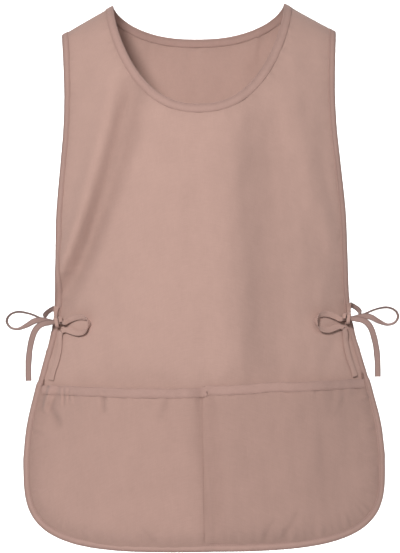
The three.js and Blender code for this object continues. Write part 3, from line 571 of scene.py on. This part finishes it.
# painted shade along its seams and in its creases, and a little on the right half, which hangs turned away
# from the light
near = np.minimum(near, np.abs(pocket_x - SEAM_LEAN * t) + SEAM_FAINTNESS)
hollow_shade = np.clip(-crease_height(POCKET_CREASES, pocket_x, points[..., 2]) / HOLLOW_DEPTH, 0, 1.3)
turned = np.clip(pocket_x / TURN_START, 0, 1) * np.exp(-(((pocket_x - TURN_MIDDLE) / TURN_WIDTH) ** 2))
shade_points(pocket, np.exp(-((near / RIM_SHADE) ** 2)) + 0.7 * hollow_shade + 0.45 * turned)
# a painted shadow line on the front panel, where the mouth's edge meets it
shade = front_panel.data.attributes["seam"]
values = np.zeros(front_x.size, np.float32)
shade.data.foreach_get("value", values)
contact = front_surface(front_x, front_root)[..., 2] - mouth_height(front_x) - CONTACT_RISE
mouth_shadow = 0.5 * np.exp(-((contact / CONTACT_WIDTH) ** 2))
shade.data.foreach_set("value", values + mouth_shadow.ravel())
wall = pocket.modifiers.new("cloth", "SOLIDIFY")
wall.thickness, wall.offset = CLOTH, -1
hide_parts("pocket_panel")

# Bindings
# Bias strips of the same cloth, folded over each raw edge and sewn through close to their inner
# edges: one over the pocket's mouth, one round the neck, and one round each panel's sides and hem.
BINDING_WALL = 0.0009
BINDING_WIDTH = 0.0085
NECK_BINDING_WIDTH = BINDING_WIDTH + 0.001
BAND_WIDTH = 0.0105
BAND_END_GAP = 0.0003
LAYER_GAP, LINING_GAP = 0.0001, 0.00006
SWELL_HEIGHT = 0.00012
STITCH_LINE = 0.86
OUTER_STITCHES, INNER_STITCHES = 3, 21
FOLD_POINTS = 7
POCKET_LIFT, MOUTH_LIFT = 0.0014, 0.0009
LIFT_START, LIFT_RUN = 0.004, 0.006
DIVIDE_START, DIVIDE_END, DIVIDE_SHIFT = 0.002, 0.010, -0.002
DIVIDE_STEPS, THREAD_LIFT = 120, 0.0003
# Outer half of the profile: share of the width inwards, share of the wall up
BINDING_PROFILE = np.array([
    (1.0, 0.15), (0.985, 0.8), (0.94, 1), (STITCH_LINE, 0.86), (0.8, 0.9), (0.6, 1.1), (0.4, 1.15),
    (0.2, 1.1), (0.05, 1.05),
])
# Lining: share of the width inwards, and the side that it lies on, from the inner face to the outer
BINDING_LINING = np.array([(0.97, -1), (0.05, -1), (0.0, 0), (0.05, 1), (0.97, 1)])
BIAS_CLOTH = cloth_material(
    "bias binding", (0.436, 0.276, 0.236), 0.00062, 0.88, painted_shade=0.22, turn=0.8, bump=0.0001,
)


def closed_loops(loops, ring):
    """Faces between neighbouring rings of points: ring k to ring k + 1, round each ring."""
    k = np.arange(loops * ring).reshape(loops, ring)
    k = np.concatenate([k, k[:, :1]], axis=1)
    return np.stack([k[:-1, :-1], k[1:, :-1], k[1:, 1:], k[:-1, 1:]], axis=-1).reshape(-1, 4)


def turned_out(points, faces):
    """The faces, reversed if they enclose a negative volume."""
    a, b, c, d = (points.reshape(-1, 3)[faces[:, k]] for k in range(4))
    volume = (np.cross(b - a, c - a) * a).sum() + (np.cross(c - a, d - a) * a).sum()
    return faces[:, ::-1] if volume < 0 else faces


def strip_faces(rings):
    """Faces round neighbouring rings, and a cap over each end, all turned outward."""
    loops, ring = rings.shape[:2]
    faces = turned_out(rings, closed_loops(loops, ring))
    caps = np.array([np.arange(ring), np.arange(ring * (loops - 1), ring * loops)[::-1]])
    return faces, caps if faces[0, 0] == 0 else caps[:, ::-1]


def folded_over(surface, facing, x, root, width, lift, flip, seed):
    """A strip folded over an edge. Its profile is (inwards, up) from the edge: along the outer face at
    lift + wall, half round the edge, back along the inner face, and home close to the cloth."""
    far_x, far_root = moved_in(surface, facing, x, root, width, flip)
    edge = surface(x, root)
    normal = outward(surface, facing, x, root)
    inwards = surface(far_x, far_root) - edge
    inwards = inwards / np.linalg.norm(inwards, axis=-1, keepdims=True)
    way = np.concatenate([[0], np.cumsum(np.linalg.norm(np.diff(edge, axis=0), axis=1))])
    swell = SWELL_HEIGHT * spread_noise(way, seed)
    share = np.concatenate([BINDING_PROFILE[:, 0], BINDING_PROFILE[::-1, 0]])
    shift = np.concatenate([BINDING_PROFILE[:, 1], -BINDING_PROFILE[::-1, 1]])
    rows_x = mix(x[:, None], far_x[:, None], share)
    rows_root = mix(root[:, None], far_root[:, None], share)
    skin = surface(rows_x, rows_root)
    up = outward(surface, facing, rows_x, rows_root)
    stand = np.where(shift > 0, LAYER_GAP + lift[:, None], -CLOTH - LAYER_GAP)
    stand = stand + shift * (BINDING_WALL + swell[:, None])
    skin = skin + up * stand[..., None]
    turn = np.linspace(0.5, -0.5, FOLD_POINTS + 2)[1:-1] * np.pi
    middle = (lift - CLOTH) / 2
    round_up = (CLOTH + lift) / 2 + BINDING_WALL + LAYER_GAP + swell
    beyond = -np.cos(turn) * (CLOTH / 2 + BINDING_WALL + 2 * LAYER_GAP)
    rim = edge[:, None] + inwards[:, None] * beyond[:, None]
    rim = rim + normal[:, None] * (middle[:, None] + round_up[:, None] * np.sin(turn))[..., None]
    share, face = BINDING_LINING.T
    home_x = mix(x[:, None], far_x[:, None], share)
    home_root = mix(root[:, None], far_root[:, None], share)
    under = np.where(face > 0, LINING_GAP + lift[:, None], -CLOTH - LINING_GAP)
    under = np.where(face == 0, middle[:, None], under)
    lining = surface(home_x, home_root) + outward(surface, facing, home_x, home_root) * under[..., None]
    half = len(BINDING_PROFILE)
    rings = np.concatenate([skin[:, :half], rim, skin[:, half:], lining], axis=1)
    across = np.cumsum(np.linalg.norm(np.diff(rings[0], axis=0, prepend=rings[0, :1]), axis=-1))
    flat = np.stack(np.broadcast_arrays(way[:, None], across[None]), axis=-1)
    return rings, flat


def stitches(name, line, normal, pitch=0.0031, long=0.0022, thick=0.00033):
    """Thread along a line: every stitch is four rings of five points, at -1/2, -1/3, 1/3 and 1/2 of
    its length, with radii 0.3, 1, 1 and 0.3, sunk at its ends."""
    way = np.concatenate([[0], np.cumsum(np.linalg.norm(np.diff(line, axis=0), axis=1))])
    count, step = int(way[-1] / pitch), 0.0005
    at = (np.arange(count) + 0.5) * way[-1] / count
    spot = np.stack([np.interp(at, way, line[:, k]) for k in range(3)], axis=-1)
    ahead = np.stack([np.interp(at + step, way, line[:, k]) for k in range(3)], axis=-1)
    ahead = ahead - np.stack([np.interp(at - step, way, line[:, k]) for k in range(3)], axis=-1)
    ahead = ahead / np.linalg.norm(ahead, axis=-1, keepdims=True)
    up = np.stack([np.interp(at, way, normal[:, k]) for k in range(3)], axis=-1)
    up = up - ahead * (up * ahead).sum(axis=-1, keepdims=True)
    up = up / np.linalg.norm(up, axis=-1, keepdims=True)
    aside = np.cross(ahead, up)
    reach = np.array([-0.5, -0.33, 0.33, 0.5]) * long
    radius = np.array([0.3, 1, 1, 0.3]) * thick
    sink = np.array([-0.7, 0.35, 0.35, -0.7]) * thick
    turn = np.arange(5) / 5 * 2 * np.pi
    rings = spot[:, None, None] + ahead[:, None, None] * reach[:, None, None]
    rings = rings + up[:, None, None] * (sink[:, None] + radius[:, None] * np.sin(turn))[..., None]
    rings = rings + aside[:, None, None] * (radius[:, None] * np.cos(turn))[..., None]
    one = closed_loops(4, 5)
    faces = (one[None] + 20 * np.arange(count)[:, None, None]).reshape(-1, 4)
    first, last = np.arange(5), np.arange(15, 20)[::-1]
    caps = [end for k in range(count) for end in (first + 20 * k, last + 20 * k)]
    a, b, c = (rings.reshape(-1, 3)[faces[0, k]] for k in range(3))
    if np.dot(np.cross(b - a, c - a), a - spot[0]) < 0:
        faces, caps = faces[:, ::-1], [cap[::-1] for cap in caps]
    return add_piece(name, rings, faces, THREAD, caps=caps)


def binding_shade(fold, groove):
    """Round a ring of a binding: painted shade along the fold and in the groove of the stitches."""
    shade = np.zeros(2 * len(BINDING_PROFILE) + FOLD_POINTS + len(BINDING_LINING))
    shade[[2, 3, 4, 21, 22]] = np.array([0.6, 1, 0.5, 1, 0.6]) * groove
    shade[7:18] = fold
    shade[[7, 17]] = 0.4 * fold
    return shade


def bound_edge(name, surface, facing, x, root, width, lift, flip, seed, fold, groove):
    """An open binding with closed ends, its stitches' line on the outer face, and their normals."""
    rings, flat = folded_over(surface, facing, x, root, width, lift, flip, seed)
    faces, caps = strip_faces(rings)
    piece = add_piece(name, rings, faces, BIAS_CLOTH, uv=flat, caps=caps)
    shade_points(piece, np.tile(binding_shade(fold, groove), len(rings)))
    sewn = moved_in(surface, facing, x, root, width * STITCH_LINE, flip)
    return piece, rings[:, OUTER_STITCHES], outward(surface, facing, *sewn)


def thread_material(name, colour):
    """Polyester sewing thread: a plain dyed strand with a fine twist across it."""
    material = bpy.data.materials.new(name)
    material.use_nodes = True
    tree = material.node_tree
    shader = tree.nodes["Principled BSDF"]
    place = put(tree, "ShaderNodeTexCoord", {})
    strands = {"Vector": place.outputs["Object"], "Scale": 1800.0, "Detail": 1.0}
    twist = put(tree, "ShaderNodeTexNoise", strands)
    shade = calc(tree, "MULTIPLY_ADD", twist.outputs[0], 0.5, 0.75)
    tint(tree, colour, shade)
    shader.inputs["Roughness"].default_value = 0.6
    return material


THREAD = thread_material("rose thread", (0.40, 0.245, 0.205))

# the band over the pocket's mouth
band_x = mouth_x * (half_width(POCKET_DROP / LENGTH) - BINDING_WIDTH - BAND_END_GAP) / mouth_x[-1]
band_root = root_at(band_x, mouth_height(band_x))
pocket_band, line, normal = bound_edge(
    "pocket_mouth_band", pocket_at, -1, band_x, band_root, BAND_WIDTH, 0 * band_x, -1, 5,
    fold=0.1, groove=0.3,
)
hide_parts("pocket_band")
band_stitches = stitches("band_stitches", line, normal)

# the seam that divides the pocket in two
divide_top, divide_end = root_at(0, mouth_height(0) - DIVIDE_START), root_at(0, DIVIDE_END - LENGTH)
divide_root = np.linspace(divide_top, divide_end, DIVIDE_STEPS)
divide_x = np.full(DIVIDE_STEPS, DIVIDE_SHIFT)
normal = outward(pocket_at, -1, divide_x, divide_root)
line = pocket_at(divide_x, divide_root) + normal * THREAD_LIFT
divide_stitches = stitches("divide_stitches", line, normal)

# round the neck: along the front neckline, then back along the other
front_lift, back_lift = 0 * FRONT_NECK[0], 0 * BACK_NECK[0]
front_rings, front_flat = folded_over(front_surface, -1, *FRONT_NECK, NECK_BINDING_WIDTH, front_lift, -1, 6)
back_rings, back_flat = folded_over(back_surface, 1, *BACK_NECK, NECK_BINDING_WIDTH, back_lift, 1, 7)
rings = np.concatenate([front_rings[:-1], back_rings[::-1][:-1]])
flat = np.concatenate([front_flat[:-1], back_flat[::-1][:-1]])
faces = closed_loops(*rings.shape[:2])
first = np.arange(rings.shape[1])
after, last = np.roll(first, -1), rings.shape[1] * (len(rings) - 1)
joint = np.stack([first + last, first, after, after + last], axis=-1)
faces = turned_out(rings, np.concatenate([faces, joint]))
neck_binding = add_piece("neck_bias_binding", rings, faces, BIAS_CLOTH, uv=flat)
shade_points(neck_binding, np.tile(binding_shade(fold=0.6, groove=0.4), len(rings)))
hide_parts("neck_binding")
front_up, back_up = outward(front_surface, -1, *FRONT_NECK), outward(back_surface, 1, *BACK_NECK)
neck_stitches = [
    stitches("front_neck_stitches", front_rings[:, OUTER_STITCHES], front_up),
    stitches("back_neck_stitches", back_rings[:, OUTER_STITCHES], back_up),
    stitches("inner_neck_stitches", back_rings[:, INNER_STITCHES], -back_up),
]

# down the sides and round the hem of each panel; on the front it also holds the pocket's edges
edge_z = front_surface(*FRONT_RIM)[:, 2]
below = mouth_height(HEM_WIDTH / 2) - edge_z
over = np.clip((below + LIFT_START) / LIFT_RUN, 0, 1)
depth = np.clip(below / (LENGTH - POCKET_DROP), 0, 1)
over = (POCKET_LIFT + MOUTH_LIFT * (1 - depth) ** 2) * over**2 * (3 - 2 * over)
front_binding, line, normal = bound_edge(
    "front_side_binding", front_surface, -1, *FRONT_RIM, BINDING_WIDTH, over, 1, 8, fold=1.2, groove=1.0,
)
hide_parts("front_edge_binding")
front_stitches = stitches("front_edge_stitches", line, normal)
back_binding, line, normal = bound_edge(
    "back_side_binding", back_surface, 1, *BACK_RIM, BINDING_WIDTH, 0 * BACK_RIM[0], -1, 9,
    fold=1.0, groove=0.6,
)
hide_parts("back_edge_binding")
back_stitches = stitches("back_edge_stitches", line, normal)

# Ties
# Flat tapes, each a strip of the twill folded in and sewn flat. One is caught in each side binding
# at the waist, and the two of a side are tied in a bow, so each has a loop and a hanging tail.
TIE_WIDTH = 0.008
TIE_THICKNESS = 0.0011
TIE_DROP = 0.401
# The solids' binding wall, clearance and tie thickness, which set how far off its edge a tie starts
SOLID_WALL, SOLID_GAP, SOLID_TIE = 0.001, 0.0003, 0.0012
TIE_STAND = SOLID_WALL + SOLID_GAP + 2 * SOLID_TIE
KNOT_DROP, KNOT_INSET, KNOT_LIFT = 0.019, 0.004, 0.012
TIE_RINGS, ROUTE_STEPS = 190, 24
WAVER = 0.05
# Section of a tape, in shares of half its width and of half its thickness
TIE_PROFILE = np.array([
    (1, -0.35), (1, 0.35), (0.93, 0.9), (0.8, 1), (0.7, 0.72), (0.55, 1), (0, 1.05), (-0.55, 1),
    (-0.7, 0.72), (-0.8, 1), (-0.93, 0.9), (-1, 0.35), (-1, -0.35), (-0.93, -0.9), (-0.8, -1),
    (-0.55, -1), (0, -1.05), (0.55, -1), (0.8, -1), (0.93, -0.9),
])
# One tape in two copies: a lit one for the front ties, and one painted darker as shade, with more painted
# shade along its edges, for the back ties
LIT_FRONT_TAPE = cloth_material("front tie tape", (0.470, 0.300, 0.254), 0.0006, 0.86, painted_shade=0.06, bump=0.0001)
SHADED_BACK_TAPE = cloth_material("back tie tape", (0.345, 0.225, 0.198), 0.0006, 0.86, painted_shade=0.45, bump=0.0001)
# Routes in millimetres from the knot's middle: out, fore, up, which way the width faces, share of width
BACK_TIE_ROUTE = [
    (10, -37, 16.5, 0.3, 0.7, 0.6, 1), (16.5, -28, 11.5, 0.45, 0.8, 0.4, 1),
    (19, -18, 6.5, 0.4, 0.8, 0.5, 1), (16.5, -10, 2.5, 0.2, 0.5, 0.9, 1),
    (12, -4.8, 0.5, 0, 0, 1, 0.9), (6, -2.8, 0, 0, 0, 1, 0.75),
    (0, -2.6, 0, 0, 0, 1, 0.75), (-5.5, -2.6, 0, 0, 0, 1, 0.75),
    (-7, -1.75, 0, 0, 0, 1, 0.75), (-5.5, -0.9, 0, 0, 0, 1, 0.75),
    (0, -0.9, 0, 0, 0, 1, 0.75), (6, -0.9, 0.2, 0, 0, 1, 0.75),
    (13, -1.4, 1.5, 0, 0.4, 0.9, 0.9), (23, -3, 5.4, 0, 1, 0.35, 1),
    (38, -2.4, 11.6, 0, 1, 0.3, 1), (54, -0.6, 14, 0.05, 1, 0.3, 1),
    (64, 1.2, 9.6, 0.2, 1, 0.2, 1), (67.5, 2.4, 1.8, 0.3, 1, 0, 1),
    (63, 3.6, -5.8, 0.15, 1, -0.25, 1), (54, 4.4, -8.6, 0, 1, -0.35, 1),
    (42, 4.8, -4.4, 0, 0.6, -0.8, 1), (30, 4.6, 2, 0, 0.25, -0.97, 1),
    (20, 3.4, 2.6, 0, 0, -1, 1), (11, 1.5, 0.6, 0, 0, -1, 0.85),
    (5.5, 0.8, 0, 0, 0, -1, 0.75), (0, 0.8, 0, 0, 0, -1, 0.75),
    (-5.5, 0.8, 0, 0, 0, -1, 0.75), (-7, 1.65, 0, 0, 0, -1, 0.75),
    (-5.5, 2.5, 0, 0, 0, -1, 0.75), (0, 2.5, 0, 0, 0, -1, 0.75),
    (5.5, 2.9, -0.1, 0, 0, -1, 0.75), (12, 5, -0.8, 0, 0, -1, 0.9),
    (19, 7, -2, -0.25, 0, -1, 1), (25.5, 7.6, -5.5, -0.6, 0, -0.8, 1),
    (30.5, 7, -12, -0.85, 0, -0.5, 1), (34, 5.5, -21, -0.95, 0, -0.3, 1),
    (37, 3, -33, -1, 0, -0.2, 1), (39, 1, -47, -1, 0, -0.1, 1),
    (39.8, 0, -62, -1, 0, 0, 1), (39.8, -0.6, -77.5, -1, 0, 0, 1),
]
FRONT_TIE_ROUTE = [
    (3.4, -10.5, 13, 0.85, -0.5, 0, 0.8), (3.2, -5, 8.4, 1, -0.2, 0, 0.6),
    (3, 0, 6.7, 1, 0, 0, 0.6), (2.4, 4.9, 4.8, 1, 0, 0, 0.6),
    (1.7, 6.1, 0, 1, 0, 0, 0.6), (1, 4.9, -4.8, 1, 0, 0, 0.6),
    (0.3, 0, -6.7, 1, 0, 0, 0.6), (-0.5, -4.9, -4.8, 1, 0, 0, 0.6),
    (-1.3, -6, 0, 1, 0, 0, 0.6), (-2, -4.9, 4.8, 1, 0, 0, 0.6),
    (-2.7, 0, 6.7, 1, 0, 0, 0.6), (-3.4, 5, 4.8, 1, 0.1, 0.1, 0.6),
    (-5, 7.2, 0.6, 0.9, 0.2, 0.5, 0.7), (-9, 7.6, -0.6, 0.3, 0.3, 0.95, 0.85),
    (-16, 7.6, 3, 0, 0.35, 0.93, 1), (-26.5, 12, 6.4, 0, 0.4, 0.9, 1),
    (-36, 18.5, 6, 0, 0.5, 0.85, 1), (-42, 23, 1, 0.5, 0.8, 0.2, 0.9),
    (-42, 23.5, -6, 0.5, 0.8, -0.2, 0.9), (-36.5, 20, -12.4, 0, 0.6, -0.8, 1),
    (-26.5, 13.5, -14.6, 0, 0.45, -0.9, 1), (-17, 6.8, -12, 0, 0.3, -0.95, 1),
    (-9.6, 2.4, -10.6, 0.1, 0.1, -1, 0.85), (-4.4, -0.4, -13, 0.7, -0.45, -0.6, 0.8),
    (-2.2, -2.4, -20, 0.82, -0.57, -0.2, 1), (-2, -1.7, -30, 0.82, -0.57, 0, 1),
    (-0.2, 0.1, -42, 0.82, -0.57, 0.1, 1), (3, 0.8, -54, 0.82, -0.57, 0.1, 1),
    (7, 0.8, -66, 0.82, -0.57, 0.2, 1), (9.8, 1.3, -77, 0.82, -0.57, 0.1, 1),
]


def smooth_route(points):
    """Catmull-Rom curve through the points, with each knot step the square root of their distance, as
    fine samples, and the number of the point that each lies after."""
    ends = np.concatenate([[2 * points[0] - points[1]], points, [2 * points[-1] - points[-2]]])
    gap = np.sqrt(np.linalg.norm(np.diff(ends, axis=0), axis=1))[:, None]
    d0, d1, d2 = gap[:-2], gap[1:-1], gap[2:]
    p0, p1, p2, p3 = ends[:-3], ends[1:-2], ends[2:-1], ends[3:]
    start = ((p1 - p0) / d0 - (p2 - p0) / (d0 + d1) + (p2 - p1) / d1) * d1
    stop = ((p2 - p1) / d1 - (p3 - p1) / (d1 + d2) + (p3 - p2) / d2) * d1
    t = np.linspace(0, 1, ROUTE_STEPS, endpoint=False)[None, :, None]
    p1, p2, start, stop = (p[:, None] for p in (p1, p2, start, stop))
    curve = (2 * t**3 - 3 * t**2 + 1) * p1 + (t**3 - 2 * t**2 + t) * start
    curve = curve + (3 * t**2 - 2 * t**3) * p2 + (t**3 - t**2) * stop
    number = np.arange(len(points) - 1)[:, None] + t[..., 0]
    return np.concatenate([curve.reshape(-1, 3), points[-1:]]), np.append(number.ravel(), len(points) - 1)


def tie(name, hand, facing, route, node, material, seed):
    """A tape along its route: rings at even steps, each a flat section turned to the row's width, with
    thin edges, a shallow groove along each edge's seam, and a slight waver. The front tie starts on its
    binding, and the back tie beyond its edge."""
    surface = front_surface if facing < 0 else back_surface
    x = np.array([hand * half_width(TIE_DROP / LENGTH)])
    root = root_at(x, -TIE_DROP)
    out = outward(surface, facing, x, root)[0]
    across = (surface(x + PROBE, root) - surface(x - PROBE, root))[0]
    across = across / np.linalg.norm(across) * hand
    off = out * TIE_STAND - across * TIE_WIDTH / 2 if facing < 0 else across * TIE_STAND
    start = surface(x, root)[0] + off
    knot_x = np.array([hand * (half_width(TIE_DROP / LENGTH) - KNOT_INSET)])
    knot = front_surface(knot_x, root_at(knot_x, -TIE_DROP - KNOT_DROP))[0] + np.array([0, -KNOT_LIFT, 0])
    rows = np.array(route)
    stops = knot + rows[:, :3] * np.array([hand, -1, 1]) / 1000
    wide = rows[:, 3:6] * np.array([hand, -1, 1])
    points = np.concatenate([[start], stops])
    wide = np.concatenate([[across if facing < 0 else (0, 0, 1)], wide])
    share = np.concatenate([[1], rows[:, 6]])
    curve, number = smooth_route(points)
    way = np.concatenate([[0], np.cumsum(np.linalg.norm(np.diff(curve, axis=0), axis=1))])
    at = np.linspace(0, way[-1], TIE_RINGS)
    centre = np.stack([np.interp(at, way, curve[:, k]) for k in range(3)], axis=-1)
    number = np.interp(at, way, number)
    ahead = np.gradient(centre, axis=0)
    ahead = ahead / np.linalg.norm(ahead, axis=-1, keepdims=True)
    wide = np.stack([np.interp(number, np.arange(len(points)), wide[:, k]) for k in range(3)], axis=-1)
    wide = wide - ahead * (wide * ahead).sum(axis=-1, keepdims=True)
    wide = wide / np.linalg.norm(wide, axis=-1, keepdims=True)
    thin = np.cross(ahead, wide)
    share = np.interp(number, np.arange(len(points)), share)
    half, thick = TIE_WIDTH / 2, TIE_THICKNESS / 2
    side_way, face_way = TIE_PROFILE.T
    waver = 1 + WAVER * spread_noise(at, seed)
    rings = centre[:, None] + wide[:, None] * (side_way * (half * share * waver)[:, None])[..., None]
    rings = rings + thin[:, None] * (face_way * thick)[None, :, None]
    faces, caps = strip_faces(rings)
    flat = np.stack(np.broadcast_arrays(side_way[None] * half, at[:, None]), axis=-1)
    piece = add_piece(name, rings, faces, material, uv=flat, caps=caps)
    # painted shade along both edges of the tape
    shade_points(piece, np.tile(np.clip((np.abs(side_way) - 0.6) / 0.35, 0, 1), TIE_RINGS))
    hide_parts(node)


for name, hand in (("left", -1), ("right", 1)):
    tie(f"{name}_front_tape", hand, -1, FRONT_TIE_ROUTE, f"{name}_front_tie", LIT_FRONT_TAPE, 11)
    tie(f"{name}_back_tape", hand, 1, BACK_TIE_ROUTE, f"{name}_back_tie", SHADED_BACK_TAPE, 12)

# Studio
# A plain pale floor that curves up into a wall, two soft lights from the front, the stronger one at
# the left, one light for the wall and one from behind, and a level camera at half the apron's height.
FLOOR_START, FLOOR_DROP, SIDE_REACH = -0.6, 1.1, 7
BEND_START, BEND_RADIUS, WALL_HEIGHT = 5.0, 1, 5.0
# The picture takes in this height at this distance
VIEW_HEIGHT, VIEW_DISTANCE = 0.7275, 3.15

paper = bpy.data.materials.new("pale paper")
paper.use_nodes = True
paper.node_tree.nodes["Principled BSDF"].inputs["Base Color"].default_value = (0.9, 0.9, 0.9, 1)
paper.node_tree.nodes["Principled BSDF"].inputs["Roughness"].default_value = 0.9
bend = np.linspace(0, np.pi / 2, 14)
sweep_y = np.concatenate([[FLOOR_START], BEND_START + BEND_RADIUS * np.sin(bend), [BEND_START + BEND_RADIUS]])
sweep_z = np.concatenate([[0.0], BEND_RADIUS * (1 - np.cos(bend)), [WALL_HEIGHT]]) - FLOOR_DROP
sweep_x = np.linspace(-SIDE_REACH, SIDE_REACH, 3)[:, None]
sweep = np.stack(np.broadcast_arrays(sweep_x, sweep_y, sweep_z), axis=-1)
mesh = bpy.data.meshes.new("backdrop")
mesh.from_pydata(sweep.reshape(-1, 3).tolist(), [], grid_faces(*sweep.shape[:2]).tolist(), False)
mesh.materials.append(paper)
backdrop = bpy.data.objects.new("backdrop", mesh)
bpy.context.scene.collection.objects.link(backdrop)


def soft_light(name, place, aim, size, power):
    """A square area light at a place, turned to what it lights."""
    lamp = bpy.data.lights.new(name, "AREA")
    lamp.shape, lamp.size, lamp.energy = "SQUARE", size, power
    light = bpy.data.objects.new(name, lamp)
    bpy.context.scene.collection.objects.link(light)
    light.location = place
    way = np.array(aim) - np.array(place)
    flat_way = np.hypot(way[0], way[1])
    light.rotation_euler = (np.arctan2(flat_way, -way[2]), 0, np.arctan2(-way[0], way[1]))


soft_light("key", (-0.68, -2.85, 0.6), (0, 0, -0.34), 0.55, 81)
soft_light("fill", (1.7, -2.4, 0.3), (0, 0, -0.36), 1.6, 9)
soft_light("wall", (0, 2.2, 2.6), (0, 5.6, -0.7), 2.5, 330)
soft_light("back", (1.4, 3.4, 1.2), (0, 0, -0.36), 1.2, 36)
world = bpy.data.worlds.new("pale room")
world.use_nodes = True
world.node_tree.nodes["Background"].inputs["Color"].default_value = (1, 1, 1, 1)
ray = put(world.node_tree, "ShaderNodeLightPath", {})
strength = calc(world.node_tree, "MULTIPLY_ADD", ray.outputs["Is Camera Ray"], 0.8, 0.18)
world.node_tree.links.new(strength, world.node_tree.nodes["Background"].inputs["Strength"])
bpy.context.scene.world = world
bpy.context.scene.view_settings.view_transform = "Standard"

lens = bpy.data.cameras.new("camera")
camera = bpy.data.objects.new("camera", lens)
bpy.context.scene.collection.objects.link(camera)
camera.location = (-0.0025, -3.2, -0.362)
camera.rotation_euler = (np.pi / 2, np.radians(0.7), 0)
lens.sensor_width = 36
lens.lens = 36 * VIEW_DISTANCE / VIEW_HEIGHT
lens.clip_start, lens.clip_end = 0.05, 40
bpy.context.scene.camera = camera
